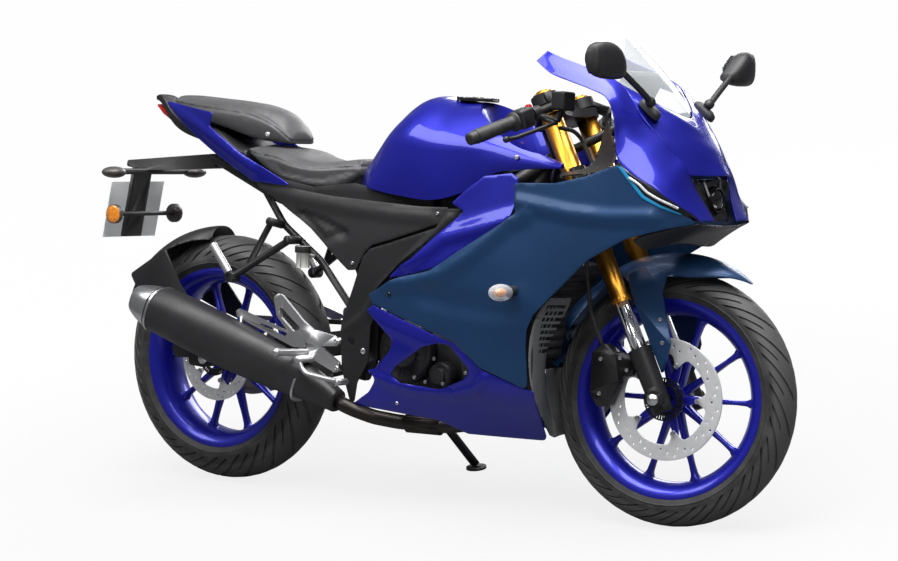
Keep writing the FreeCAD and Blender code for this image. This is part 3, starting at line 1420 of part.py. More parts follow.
def pillion_bracket():
    low = Vector(-524, -168, 532)
    one = rod(Vector(-366, -140, 629), low, 9)
    two = rod(Vector(-424, -140, 674), Vector(-480, -158, 566), 8)
    tops = [rod(Vector(-370, -102.5, 628), Vector(-366, -152, 629), 11),
            rod(Vector(-424, -99.3, 664), Vector(-424, -152, 674), 10)]
    knuckle = rod(low - Vector(0, 16, 0), low + Vector(0, 14, 0), 14)
    peg = rod(low + Vector(-4, -9, 5), Vector(-580, -184, 612), 10, 7)
    return fused([knuckle, one, two, peg] + tops)


pillion_footrests = feature("pillion_footrests", pair(pillion_bracket()))


def rear_reservoir_shape():
    cup = rod(Vector(-322, -142, 562), Vector(-322, -142, 600), 17)
    cap = rod(Vector(-322, -142, 600), Vector(-322, -142, 616), 20)
    stay = rod(Vector(-318, -104.5, 590), Vector(-322, -128, 592), 5)
    return fused([cup, cap, stay])


rear_reservoir = feature("rear_reservoir", rear_reservoir_shape())

hose_points = [Vector(509, -88, 414.5), Vector(484, -104, 492), Vector(480, -129, 600), Vector(500, -134, 672),
               Vector(508, -106, 732), Vector(486, -84, 788), Vector(424, -86, 904), Vector(411, -156, 908)]
brake_hose = feature("brake_hose", bent_tube(hose_points, 5, 90))


# How the machine stands: both tyres and the foot of the side stand on the ground.

def steer_placement():
    angle = size("park_steer")
    turn = Rotation(steer_up, angle)
    return Placement(steer_foot - turn.multVec(steer_foot), turn)


def lowest(profile, placement):
    axle = placement.Rotation.multVec(Vector(0, 1, 0))
    across = math.sqrt(1 - axle.z ** 2)
    return min(placement.Base.z + y * axle.z - r * across for r, y in profile)


def park_placement():
    """Lean to the left, then raise and pitch until both tyres touch the ground."""
    lean = Rotation(Vector(1, 0, 0), -size("park_lean"))
    pitch = 0.0
    height = 0.0
    for _ in range(8):
        park = Placement(Vector(0, 0, height), Rotation(Vector(0, 1, 0), pitch).multiply(lean))
        front_gap = lowest(front_profile, park.multiply(steer_placement()).multiply(Placement(front_axle, Rotation())))
        rear_gap = lowest(rear_profile, park.multiply(Placement(rear_axle, Rotation())))
        height -= (front_gap + rear_gap) / 2
        pitch += math.degrees(math.atan2(front_gap - rear_gap, size("wheelbase")))
    return Placement(Vector(0, 0, height), Rotation(Vector(0, 1, 0), pitch).multiply(lean))


park = park_placement()


def stand_foot():
    """Middle of the foot's sole, on the ground, in the upright layout."""
    sole = park.multVec(Vector(-64, 256, 50))
    return park.inverse().multVec(Vector(sole.x, sole.y, 0))


def side_stand_shape():
    foot = stand_foot()
    up = park.inverse().Rotation.multVec(Vector(0, 0, 1))
    radius = size("stand_radius")
    eye = rod(stand_pivot - stand_axis * 6, stand_pivot + stand_axis * 6, 17)
    knee = stand_pivot + (foot - stand_pivot) * 0.55 + Vector(-6, 8, 4)
    leg = bent_tube([stand_pivot + (knee - stand_pivot) * 0.06, knee, foot + up * 9], radius, 200)
    plate = rod(foot, foot + up * 6, 26)
    for end in (-1, 1):
        leg = leg.cut(rod(stand_pivot + stand_axis * (end * 6), stand_pivot + stand_axis * (end * 40), 18))
    whole = fused([eye, leg, plate])
    return whole.cut(rod(stand_pivot - stand_axis * 30, stand_pivot + stand_axis * 30, 6.4))


side_stand = feature("side_stand", side_stand_shape())


def stand_bracket():
    """Lug under the left pivot plate with the stand's pin."""
    lug = rounded_prism([(-196, 330), (-120, 330), (-150, 236), (-190, 236)], plate_in + 1.5, plate_out - 1.5, 10)
    boss = rod(stand_pivot - stand_axis * 24, stand_pivot - stand_axis * 6.4, 15)
    pin = rod(stand_pivot - stand_axis * 8, stand_pivot + stand_axis * 10, 6)
    head = rod(stand_pivot + stand_axis * 6.5, stand_pivot + stand_axis * 10, 10)
    return [lug, boss, pin, head]


def carriers():
    """Brackets on the frame that carry the tank, seat, panels, lamp and radiator: one side's, then both."""
    posts = []
    for side, hand in ((-1, 0), (1, 1)):
        def at(x, y, z):
            return Vector(x, side * y, z)
        posts += [
            post(at(64, 122, 642), at(64, 122, 800), 8, fuel_tank.Shape),
            post(at(-380, 83, 716), at(-380, 83, 800), 6, rider_seat.Shape),
            post(at(-640, 62, 806), at(-640, 62, 900), 6, tail_unit.Shape),
            post(at(-140, 92, 690), at(-140, 190, 690), 6, side_covers.Shape.Solids[hand]),
            post(at(-310, 86, 709), at(-310, 190, 712), 6, side_covers.Shape.Solids[hand]),
            post(at(50, 124, 640), at(50, 200, 640), 6, pivot_covers.Shape.Solids[hand]),
            post(at(-128, 124, 340), at(-118, 200, 340), 6, pivot_covers.Shape.Solids[hand]),
            post(at(108, 110, 677), at(150, 210, 668), 6, tank_side_panels.Shape.Solids[hand]),
            post(at(255, 88, 576), at(262, 250, 560), 6, side_fairings.Shape.Solids[hand]),
            post(at(590, 80, 945), at(640, 190, 905), 6, upper_cowl.Shape),
            post(at(618, 141.6, 922.6), at(560, 176, 890), 5, inner_panels.Shape.Solids[hand + 1]),
            post(at(622, 106, 945), at(642, 126, 970), 5, upper_cowl.Shape.Solids[0]),
            post(at(-520, 72, 758), at(-520, 170, 826), 6, tail_panels.Shape.Solids[hand]),
            rod(at(242.6, 96, 492.6), at(320.1, 96, 473.2), 7),
        ]
    posts.append(post(Vector(520, 0, 930), Vector(720, 0, 770), 7, headlamp.Shape))
    posts.append(post(Vector(660, 0, 818), Vector(692, 0, 640), 6, inner_panels.Shape.Solids[0]))
    return posts


def seat_stops():
    """Stops on the tail that the pillion seat rests on."""
    rest = pillion_seat.Shape.copy()
    rest.translate(Vector(0, 0, -0.3))
    return [post(Vector(-690, side * 34, 896), Vector(-690, side * 34, 970), 8, rest) for side in (-1, 1)]


def engine_brackets():
    """Brackets from the crankcase out to the lower fairings."""
    return [post(Vector(140, side * 90, 285), Vector(140, side * 205, 262), 6, lower_fairings.Shape.Solids[hand])
            for side, hand in ((-1, 0), (1, 1))]


main_frame.Shape = main_frame.Shape.multiFuse(stand_bracket() + cowl_stay() + carriers())
engine.Shape = engine.Shape.multiFuse(engine_brackets())
tail_unit.Shape = tail_unit.Shape.multiFuse(seat_stops())


# Each piece belongs to the frame, to the steering or to a wheel, and gets its placement.

STEERING = ("fork_lower_legs", "fork_outer_tubes", "fork_inner_tubes", "front_axle", "triple_clamps", "handlebars",
            "grips", "hand_controls", "hand_levers", "front_fender", "front_caliper", "brake_hose")
FRONT_WHEEL = ("front_rim", "front_tyre", "front_disc")
REAR_WHEEL = ("rear_rim", "rear_tyre", "rear_disc", "rear_sprocket")


def own_placement(name):
    if name in FRONT_WHEEL:
        return steer_placement().multiply(Placement(front_axle, Rotation()))
    if name in REAR_WHEEL:
        return Placement(rear_axle, Rotation())
    if name in STEERING:
        return steer_placement()
    return Placement()


doc.recompute()


def place_all(shift):
    stand = Placement(shift, Rotation()).multiply(park)
    for name, obj in nodes.items():
        obj.Placement = stand.multiply(own_placement(name))


def whole_box():
    box = FreeCAD.BoundBox()
    for obj in nodes.values():
        box.add(obj.Shape.optimalBoundingBox(True, False))
    return box


place_all(Vector(0, 0, 0))
doc.recompute()
first_box = whole_box()
middle_shift = Vector(-(first_box.XMin + first_box.XMax) / 2, -(first_box.YMin + first_box.YMax) / 2, 0)
place_all(middle_shift)
doc.recompute()

stand = Placement(middle_shift, Rotation()).multiply(park)
datums = {
    "steering axis": (stand.multVec(steer_axis_at(860)), stand.Rotation.multVec(steer_up)),
    "front axle": (stand.multVec(steer_placement().multVec(front_axle)),
                   stand.Rotation.multVec(steer_placement().Rotation.multVec(Vector(0, 1, 0)))),
    "rear axle": (stand.multVec(rear_axle), stand.Rotation.multVec(Vector(0, 1, 0))),
    "stand pivot": (stand.multVec(stand_pivot), stand.Rotation.multVec(stand_axis)),
    "cap hinge": (stand.multVec(cap_hinge), stand.Rotation.multVec(Vector(0, 1, 0))),
    "stand foot": (stand.multVec(stand_foot()), Vector(0, 0, -1)),
    "plate face": (stand.multVec(plate_middle + plate_turn.multVec(Vector(-1, 0, 0))),
                   stand.Rotation.multVec(plate_turn.multVec(Vector(-1, 0, 0)))),
    "stem top": (stand.multVec(steer_placement().multVec(steer_axis_at(clamp_high_z + 26))),
                 stand.Rotation.multVec(steer_up)),
}
for name, (point, way) in datums.items():
    print("%s: %.4f %.4f %.4f, way %.6f %.6f %.6f" % (name, point.x, point.y, point.z, way.x, way.y, way.z))
print("park placement:", park.Base, park.Rotation.toEuler(), "shift", middle_shift)

problems = []
for obj in doc.Objects:
    if "Invalid" in obj.State or "Error" in obj.State:
        problems.append("%s is %s" % (obj.Label, obj.State))
for name, obj in nodes.items():
    if obj.Shape.isNull() or not obj.Shape.isValid() or not obj.Shape.Solids:
        problems.append("%s has no valid solid" % name)
if problems:
    raise RuntimeError("; ".join(problems))

os.makedirs("parts", exist_ok=True)
for name, obj in nodes.items():
    obj.Shape.exportStep("parts/%s.step" % name)
print("%d pieces written" % len(nodes))
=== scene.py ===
import json
import math

import bpy
from mathutils import Matrix, Vector, kdtree
from mathutils.geometry import delaunay_2d_cdt


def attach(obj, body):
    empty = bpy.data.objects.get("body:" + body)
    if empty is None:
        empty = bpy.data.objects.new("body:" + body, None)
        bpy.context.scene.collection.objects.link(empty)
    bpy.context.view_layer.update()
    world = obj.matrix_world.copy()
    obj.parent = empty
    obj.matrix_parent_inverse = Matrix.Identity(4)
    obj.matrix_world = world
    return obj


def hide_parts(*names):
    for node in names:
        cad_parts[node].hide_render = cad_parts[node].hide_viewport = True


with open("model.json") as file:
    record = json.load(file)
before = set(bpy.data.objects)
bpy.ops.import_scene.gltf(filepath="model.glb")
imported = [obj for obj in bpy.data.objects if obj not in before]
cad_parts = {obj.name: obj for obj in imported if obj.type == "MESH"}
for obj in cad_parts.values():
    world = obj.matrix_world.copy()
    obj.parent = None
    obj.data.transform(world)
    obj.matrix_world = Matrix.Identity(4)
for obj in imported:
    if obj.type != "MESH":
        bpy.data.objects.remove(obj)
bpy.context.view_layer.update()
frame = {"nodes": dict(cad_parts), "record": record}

bl_info = {
    "name": "Sport Bike Dresser",
    "version": (1, 0, 0),
    "blender": (4, 5, 0),
    "location": "3D View > Sidebar > Sport Bike",
    "description": "Dresses the packed sport bike with its paint, seats, tyres and small parts",
    "category": "Object",
}

BEHAVIOUR = frame["record"]["behaviour"]
JOINTS = {joint["name"]: joint for joint in BEHAVIOUR["joints"]}
BODY_OF = {node: body for body, nodes in BEHAVIOUR["bodies"].items() for node in nodes}
SLOT_OF = {part["node"]: part["material_slot"] for part in frame["record"]["subparts"]}

# The machine is drawn upright: X forward, Y to its left, Z up, zero on the ground between the wheels.
# The tables of points are in millimetres, these first values and the finished meshes in metres. Each
# finished piece is then set on the parked machine, which leans on its side stand.

MM = 0.001
FULL_TURN = 2 * math.pi
WHEELBASE = 1.325
FRONT_RADIUS = 0.2959
REAR_RADIUS = 0.3139
FRONT_AXLE = Vector((WHEELBASE / 2, 0, FRONT_RADIUS))
REAR_AXLE = Vector((-WHEELBASE / 2, 0, REAR_RADIUS))
RAKE = math.radians(25.5)
STEER_FOOT = Vector((0.7505, 0, 0))
STEER_UP = Vector((-math.sin(RAKE), 0, math.cos(RAKE)))
STEER_LEFT = math.radians(6.5)
LEAN = math.radians(-11)

STEER = (Matrix.Translation(STEER_FOOT) @ Matrix.Rotation(STEER_LEFT, 4, STEER_UP)
         @ Matrix.Translation(-STEER_FOOT))


def park_matrix():
    """From the upright drawing to the parked machine, fixed by where its two axles are."""
    rear, front = (Vector(JOINTS[name]["pos_m"]) for name in ("rear_wheel_spin", "front_wheel_spin"))
    lean = Matrix.Rotation(LEAN, 4, "X")
    drawn = lean @ (STEER @ FRONT_AXLE - REAR_AXLE)
    parked = front - rear
    pitch = math.atan2(drawn.z, drawn.x) - math.atan2(parked.z, parked.x)
    turn = Matrix.Rotation(pitch, 4, "Y") @ lean
    return Matrix.Translation(rear - turn @ REAR_AXLE) @ turn


PARK = park_matrix()
PLACES = {"frame": PARK, "rear_wheel": PARK, "side_stand": PARK, "fuel_cap": PARK,
          "steering": PARK @ STEER, "front_wheel": PARK @ STEER}
AXLES = {"front_wheel": FRONT_AXLE, "rear_wheel": REAR_AXLE}


def steer_axis_at(z):
    """Where the steering axis is at a height."""
    return STEER_FOOT + STEER_UP * (z / STEER_UP.z)


class SportBikeLooks(bpy.types.PropertyGroup):
    body_blue: bpy.props.FloatVectorProperty(
        name="Body blue", description="Metallic blue of the cowl, tank and tail",
        subtype="COLOR", size=3, min=0, max=1, default=(0.010, 0.012, 0.36))
    satin_teal: bpy.props.FloatVectorProperty(
        name="Satin teal", description="Satin blue-green of the side fairings and front fender",
        subtype="COLOR", size=3, min=0, max=1, default=(0.008, 0.045, 0.13))
    lamp_level: bpy.props.FloatProperty(
        name="Lamp level", description="How bright the studio lamps are, 1 as lit for the photograph",
        min=0, max=3, default=1.0)


# Shader maths.

class Amount:
    """One number that varies over a surface. Arithmetic on it adds Math nodes."""

    def __init__(self, finish, socket):
        self.finish = finish
        self.socket = socket

    def maths(self, operation, other):
        return self.finish.node("ShaderNodeMath", {"operation": operation}, {0: self, 1: other})["Value"]

    def __add__(self, other):
        return self.maths("ADD", other)

    __radd__ = __add__

    def __mul__(self, other):
        return self.maths("MULTIPLY", other)

    __rmul__ = __mul__

    def step(self, low, high):
        """0 below low, 1 above high, smooth between."""
        outputs = self.finish.node("ShaderNodeMapRange", {"interpolation_type": "SMOOTHSTEP"},
                                   {"Value": self, "From Min": low, "From Max": high})
        return outputs["Result"]


class Finish:
    """A material made of a Principled shader and the nodes that vary it."""

    def __init__(self, name, color, roughness=0.5, metallic=0.0, **fixed):
        self.material = bpy.data.materials.new(name)
        self.material.use_nodes = True
        self.tree = self.material.node_tree
        self.shader = self.tree.nodes["Principled BSDF"]
        self.set("Base Color", color)
        self.set("Roughness", roughness)
        self.set("Metallic", metallic)
        for socket, value in fixed.items():
            self.set(socket.replace("_", " "), value)

    def set(self, name, value, node=None):
        """Give a socket a value, a colour or a link."""
        socket = (node or self.shader).inputs[name]
        if isinstance(value, Amount):
            self.tree.links.new(value.socket, socket)
        elif isinstance(value, (tuple, list)) and len(value) == 3 and socket.type == "RGBA":
            socket.default_value = (*value, 1)
        else:
            socket.default_value = value

    def node(self, kind, settings=None, values=None):
        """Add a node and give back its outputs by name."""
        node = self.tree.nodes.new(kind)
        for name, value in (settings or {}).items():
            setattr(node, name, value)
        for name, value in (values or {}).items():
            self.set(name, value, node)
        found = {}
        for socket in node.outputs:
            if socket.enabled and socket.name not in found:
                found[socket.name] = Amount(self, socket)
        return found

    def place(self):
        return self.node("ShaderNodeTexCoord")["Object"]

    def noise(self, scale, detail=3, roughness=0.5, stretch=None):
        """Cloudy pattern, drawn out along an axis by stretch."""
        at = self.place()
        if stretch:
            at = self.node("ShaderNodeMapping", None, {"Vector": at, "Scale": stretch})["Vector"]
        return self.node("ShaderNodeTexNoise", None,
                         {"Vector": at, "Scale": scale, "Detail": detail, "Roughness": roughness})["Fac"]

    def cells(self, scale, feature="F1"):
        """Pattern of small cells, 0 at the middle of each."""
        outputs = self.node("ShaderNodeTexVoronoi", {"feature": feature},
                            {"Vector": self.place(), "Scale": scale})
        return outputs["Distance"]

    def blend(self, amount, first, second):
        """Colour that goes from first to second as amount goes from 0 to 1."""
        node = self.tree.nodes.new("ShaderNodeMix")
        node.data_type = "RGBA"
        self.tree.links.new(amount.socket, node.inputs[0])
        for index, color in ((6, first), (7, second)):
            if isinstance(color, Amount):
                self.tree.links.new(color.socket, node.inputs[index])
            else:
                node.inputs[index].default_value = (*color, 1)
        return Amount(self, node.outputs[2])

    def bump(self, height, strength, distance, under=None):
        """Normal of a relief, over another normal if one is given."""
        values = {"Height": height, "Strength": strength, "Distance": distance}
        if under is not None:
            values["Normal"] = under
        return self.node("ShaderNodeBump", None, values)["Normal"]


FINISHES = {}


def paint(name, color, deep, metallic, roughness, coat):
    """Metallic lacquer: fine flake, a slow drift of tone, and a clear coat."""
    made = Finish(name, color, roughness, metallic, Coat_Roughness=0.04, Coat_IOR=1.5)
    made.set("Coat Weight", coat)
    flake = made.cells(2600).step(0.2, 0.9)
    drift = made.noise(3.0, 2).step(0.35, 0.7)
    tone = made.blend(drift * 0.35 + flake * 0.25, color, deep)
    made.set("Base Color", tone)
    made.set("Roughness", flake * 0.06 + made.noise(18, 2) * 0.05 + (roughness - 0.05))
    made.set("Normal", made.bump(made.noise(140, 2), 0.012, 0.001))
    FINISHES[name] = made


def plastic(name, color, roughness=0.55, grain=900, depth=0.25, metallic=0.0):
    """Moulded plastic with a fine spark-eroded grain and rubbed patches."""
    made = Finish(name, color, roughness, metallic)
    rub = made.noise(9, 3).step(0.4, 0.75)
    made.set("Base Color", made.blend(rub * 0.6, color, tuple(min(1, c * 1.5 + 0.006) for c in color)))
    made.set("Roughness", rub * -0.1 + made.noise(60, 2) * 0.08 + roughness)
    made.set("Normal", made.bump(made.cells(grain), depth, 0.0004))
    FINISHES[name] = made


def metal(name, color, roughness, brushed=None, metallic=1.0, wear=None):
    """Metal with drawn or blasted texture and a little tarnish in its tone."""
    made = Finish(name, color, roughness, metallic)
    tarnish = made.noise(14, 4).step(0.35, 0.8)
    dark = tuple(c * 0.72 for c in (wear or color))
    made.set("Base Color", made.blend(tarnish * 0.5, color, dark))
    lines = made.noise(420, 3, 0.6, stretch=brushed) if brushed else made.noise(520, 3)
    made.set("Roughness", lines * 0.16 + tarnish * 0.08 + (roughness - 0.1))
    made.set("Normal", made.bump(lines, 0.06, 0.0004))
    FINISHES[name] = made


def gold():
    """Anodised tube with fine lines drawn along it."""
    made = Finish("fork_gold", (0.72, 0.36, 0.06), 0.3, 1.0)
    lines = made.noise(300, 3, 0.6, stretch=(1, 1, 6))
    drift = made.noise(6, 2).step(0.3, 0.8)
    made.set("Base Color", made.blend(drift * 0.5, (0.72, 0.34, 0.045), (0.62, 0.27, 0.03)))
    made.set("Roughness", lines * 0.10 + 0.27)
    made.set("Normal", made.bump(lines, 0.006, 0.0002))
    FINISHES["fork_gold"] = made


def rubber(name, roughness, middle=None, radius=0):
    """Rubber with a dusty grey film and fine pores; on a tyre the tread is paler than the walls."""
    made = Finish(name, (0.018, 0.018, 0.018), roughness)
    dust = made.noise(22, 5, 0.6).step(0.35, 0.8)
    tone = made.blend(dust, (0.014, 0.014, 0.014), (0.045, 0.044, 0.043))
    if middle is not None:
        far = made.node("ShaderNodeVectorMath", {"operation": "DISTANCE"},
                        {"Vector": made.place(), 1: tuple(middle)})["Value"]
        tread = far.step(radius - 0.036, radius - 0.024) * 0.85
        tone = made.blend(tread + dust * 0.1, tone, (0.072, 0.071, 0.070))
    made.set("Base Color", tone)
    made.set("Roughness", dust * 0.14 + (roughness - 0.05))
    made.set("Normal", made.bump(made.noise(900, 3), 0.2, 0.0004))
    FINISHES[name] = made


def vinyl():
    """Seat cover: pebbled grain with creases, lighter where it is rubbed."""
    made = Finish("seat_vinyl", (0.02, 0.02, 0.021), 0.5, Sheen_Weight=0.15, Sheen_Roughness=0.5)
    pebble = made.cells(520)
    crease = made.noise(90, 4, 0.7)
    rub = made.noise(7, 3).step(0.35, 0.75)
    made.set("Base Color", made.blend(rub * 0.7, (0.026, 0.026, 0.027), (0.055, 0.055, 0.057)))
    made.set("Roughness", pebble * 0.25 + crease * 0.1 + rub * -0.08 + 0.36)
    under = made.bump(crease, 0.12, 0.0012)
    made.set("Normal", made.bump(pebble, 0.45, 0.0008, under))
    FINISHES["seat_vinyl"] = made


def clear(name, color, alpha):
    """Clear moulding, seen through, with a stronger edge tint."""
    made = Finish(name, color, 0.06)
    edge = made.node("ShaderNodeLayerWeight", None, {"Blend": 0.25})["Facing"]
    smear = made.noise(8, 3)
    made.set("Alpha", edge * 0.55 + alpha)
    made.set("Roughness", smear * 0.06 + 0.03)
    made.set("Specular IOR Level", 0.6)
    FINISHES[name] = made


def lamp(name, color):
    """Coloured lens with a fine prism pattern."""
    made = Finish(name, color, 0.12, Coat_Weight=0.8, Coat_Roughness=0.03)
    prisms = made.cells(260, "SMOOTH_F1")
    made.set("Base Color", made.blend(prisms.step(0.2, 0.8), tuple(c * 1.15 for c in color),
                                      tuple(c * 0.6 for c in color)))
    made.set("Roughness", prisms * 0.1 + 0.08)
    made.set("Normal", made.bump(prisms, 0.2, 0.0008))
    FINISHES[name] = made


def make_finishes(looks):
    """Every material of the machine, with the colours that the panel sets."""
    paint("paint_blue", tuple(looks.body_blue), (0.004, 0.006, 0.18), 0.6, 0.34, 0.5)
    paint("paint_teal", tuple(looks.satin_teal), (0.004, 0.022, 0.068), 0.4, 0.42, 0.12)
    paint("rim_blue", (0.012, 0.014, 0.42), (0.006, 0.008, 0.22), 0.5, 0.34, 0.4)
    plastic("black_plastic", (0.011, 0.011, 0.012), 0.5)
    plastic("grey_plastic", (0.11, 0.112, 0.115), 0.5)
    plastic("gloss_black", (0.006, 0.006, 0.007), 0.18, depth=0.02)
    plastic("signal_grey", (0.05, 0.045, 0.042), 0.35, depth=0.05)
    plastic("muffler_black", (0.012, 0.012, 0.013), 0.46, grain=1400)
    plastic("plate_white", (0.74, 0.76, 0.77), 0.42, depth=0.03)
    plastic("cup_white", (0.68, 0.68, 0.62), 0.35, depth=0.03)
    metal("frame_paint", (0.016, 0.016, 0.017), 0.44, metallic=0.3)
    metal("engine_metal", (0.05, 0.05, 0.052), 0.5, metallic=0.6)
    metal("cover_metal", (0.075, 0.075, 0.078), 0.44, metallic=0.6)
    metal("spring_paint", (0.03, 0.03, 0.033), 0.3, metallic=0.3)
    metal("chrome", (0.75, 0.76, 0.78), 0.1)
    metal("disc_steel", (0.80, 0.80, 0.81), 0.38, metallic=0.5)
    metal("bright_steel", (0.62, 0.62, 0.63), 0.32, brushed=(1, 8, 1))
    metal("chain_steel", (0.30, 0.27, 0.23), 0.42)
    metal("footrest_metal", (0.50, 0.50, 0.51), 0.42)
    metal("exhaust_steel", (0.055, 0.05, 0.047), 0.42, wear=(0.05, 0.036, 0.03))
    gold()
    rubber("tyre", 0.62, PLACES["front_wheel"] @ FRONT_AXLE, FRONT_RADIUS)
    rubber("tyre_rear", 0.62, PLACES["rear_wheel"] @ REAR_AXLE, REAR_RADIUS)
    rubber("rubber", 0.55)
    vinyl()
    metal("mirror_glass", (0.80, 0.82, 0.84), 0.13)
    clear("screen_clear", (0.55, 0.58, 0.60), 0.10)
    clear("lens_glass", (0.75, 0.77, 0.80), 0.25)
    lamp("lamp_red", (0.42, 0.012, 0.010))
    lamp("lamp_amber", (0.80, 0.26, 0.02))
    lamp("lamp_white", (0.55, 0.56, 0.58))
    paint("stripe_cyan", (0.004, 0.25, 0.52), (0.003, 0.20, 0.44), 0.1, 0.4, 0.1)


# Making pieces.

def deselect():
    """Leave edit mode and select nothing."""
    if bpy.context.object and bpy.context.object.mode != "OBJECT":
        bpy.ops.object.mode_set(mode="OBJECT")
    bpy.ops.object.select_all(action="DESELECT")


def only(obj):
    """Select one piece alone and make it the active one."""
    deselect()
    obj.select_set(True)
    bpy.context.view_layer.objects.active = obj
    return obj


def from_mesh(name, points, faces):
    """New piece from points in metres and faces."""
    mesh = bpy.data.meshes.new(name)
    mesh.from_pydata([tuple(point) for point in points], [], faces)
    mesh.update()
    obj = bpy.data.objects.new(name, mesh)
    bpy.context.collection.objects.link(obj)
    return only(obj)


def tidy_mesh(obj, merge=1e-5, outward=True):
    """Merge double points and turn the faces outwards."""
    only(obj)
    bpy.ops.object.mode_set(mode="EDIT")
    bpy.ops.mesh.select_all(action="SELECT")
    bpy.ops.mesh.remove_doubles(threshold=merge)
    if outward:
        bpy.ops.mesh.normals_make_consistent(inside=False)
    bpy.ops.object.mode_set(mode="OBJECT")


def smooth(obj, degrees):
    """Shade smoothly, apart from edges sharper than so many degrees."""
    only(obj)
    bpy.ops.object.shade_smooth_by_angle(angle=math.radians(degrees))


def copied(obj, name):
    """The same piece again with a mesh of its own."""
    twin = obj.copy()
    twin.data = obj.data.copy()
    twin.name = name
    bpy.context.collection.objects.link(twin)
    return twin


def dress(obj, look, body="frame", node=None, place=True):
    """Give an upright piece its material, its place on the parked machine, its body and its CAD node."""
    obj.data.materials.clear()
    obj.data.materials.append(FINISHES[look].material)
    if place:
        obj.data.transform(PLACES[body] @ obj.matrix_world)
        obj.matrix_world = Matrix.Identity(4)
    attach(obj, body)
    if node:
        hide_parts(node)
    return obj


def dress_for(node, obj, look):
    """Dress a piece that takes the place of a CAD node."""
    return dress(obj, look, BODY_OF[node], node)


def smoothed_copy(node, look=None):
    """A CAD node's shape with its triangles merged and smoothly shaded."""
    obj = copied(frame["nodes"][node], node + "_shaded")
    obj.parent = None
    obj.matrix_world = Matrix.Identity(4)
    tidy_mesh(obj, outward=False)
    smooth(obj, 30)
    return dress(obj, look or SLOT_OF[node], BODY_OF[node], node, place=False)


# Panels of the side view: an outline (x, z) on a surface given by how far out it is.

def run_through(xs, ys, x):
    """Smooth curve through points, straight beyond its ends."""
    last = len(xs) - 1
    steps = [(ys[k + 1] - ys[k]) / (xs[k + 1] - xs[k]) for k in range(last)]

    def slope(k):
        if k == 0 or k == last:
            return steps[min(k, last - 1)]
        before, after = xs[k] - xs[k - 1], xs[k + 1] - xs[k]
        return (steps[k - 1] * after + steps[k] * before) / (before + after)

    if x <= xs[0]:
        return ys[0] + slope(0) * (x - xs[0])
    if x >= xs[-1]:
        return ys[-1] + slope(last) * (x - xs[-1])
    i = max(k for k in range(last) if xs[k] <= x)
    reach = xs[i + 1] - xs[i]
    t = (x - xs[i]) / reach
    return (ys[i] * (2 * t ** 3 - 3 * t ** 2 + 1) + ys[i + 1] * (3 * t ** 2 - 2 * t ** 3)
            + reach * (slope(i) * (t ** 3 - 2 * t ** 2 + t) + slope(i + 1) * (t ** 3 - t ** 2)))


def softened(points, radii, turns=6):
    """A closed outline with its corners rounded."""
    found = []
    for i, (corner, radius) in enumerate(zip(points, radii)):
        here = Vector(corner)
        before, after = Vector(points[i - 1]) - here, Vector(points[(i + 1) % len(points)]) - here
        reach = min(radius / math.tan(before.angle(after) / 2), before.length * 0.45, after.length * 0.45)
        start, end = here + before.normalized() * reach, here + after.normalized() * reach
        for k in range(turns + 1):
            t = k / turns
            found.append(start * (1 - t) ** 2 + here * (2 * t * (1 - t)) + end * t ** 2)
    return found


def spaced(line, step, closed=True):
    """The same line with points no further apart than step."""
    found = []
    ends = line[1:] + line[:1] if closed else line[1:]
    for start, end in zip(line, ends):
        length = (end - start).length
        if length > 0.05:
            parts = max(1, math.ceil(length / step))
            found += [start.lerp(end, k / parts) for k in range(parts)]
    if not closed:
        found.append(line[-1])
    return found


def within(point, loop):
    """Whether a point lies inside a closed outline."""
    hits = False
    for start, end in zip(loop, loop[1:] + loop[:1]):
        if (start.y > point.y) != (end.y > point.y):
            if point.x < start.x + (point.y - start.y) / (end.y - start.y) * (end.x - start.x):
                hits = not hits
    return hits


def filled(outline, holes, lines, step):
    """Points and triangles that fill an outline, follow the lines and leave the holes open."""
    loops = [spaced(loop, step) for loop in [outline] + holes]
    points, edges = [], []
    for loop in loops:
        first = len(points)
        points += loop
        edges += [(first + k, first + (k + 1) % len(loop)) for k in range(len(loop))]
    for line in lines:
        kept = [p for p in spaced([Vector(p) for p in line], step, False)
                if within(p, loops[0]) and not any(within(p, hole) for hole in loops[1:])
                and min((p - q).length for q in loops[0]) > step * 0.3]
        first = len(points)
        points += kept
        edges += [(first + k, first + k + 1) for k in range(len(kept) - 1)
                  if (kept[k] - kept[k + 1]).length < step * 1.5]
    near = kdtree.KDTree(len(points))
    for i, point in enumerate(points):
        near.insert((point.x, point.y, 0), i)
    near.balance()
    low = Vector((min(p.x for p in loops[0]), min(p.y for p in loops[0])))
    high = Vector((max(p.x for p in loops[0]), max(p.y for p in loops[0])))
    row = 0
    z = low.y
    while z < high.y:
        x = low.x + (step / 2 if row % 2 else 0)
        while x < high.x:
            if near.find((x, z, 0))[2] > step * 0.6:
                point = Vector((x, z))
                if within(point, loops[0]) and not any(within(point, hole) for hole in loops[1:]):
                    points.append(point)
            x += step
        z += step * 0.866
        row += 1
    points, _, faces, *_ = delaunay_2d_cdt(points, edges, [], 1, 1e-4)
    kept = []
    for face in faces:
        corners = [points[i] for i in face]
        middle = (corners[0] + corners[1] + corners[2]) / 3
        if within(middle, loops[0]) and not any(within(middle, hole) for hole in loops[1:]):
            area = (corners[1] - corners[0]).cross(corners[2] - corners[0])
            kept.append(face if area > 0 else face[::-1])
    return points, kept


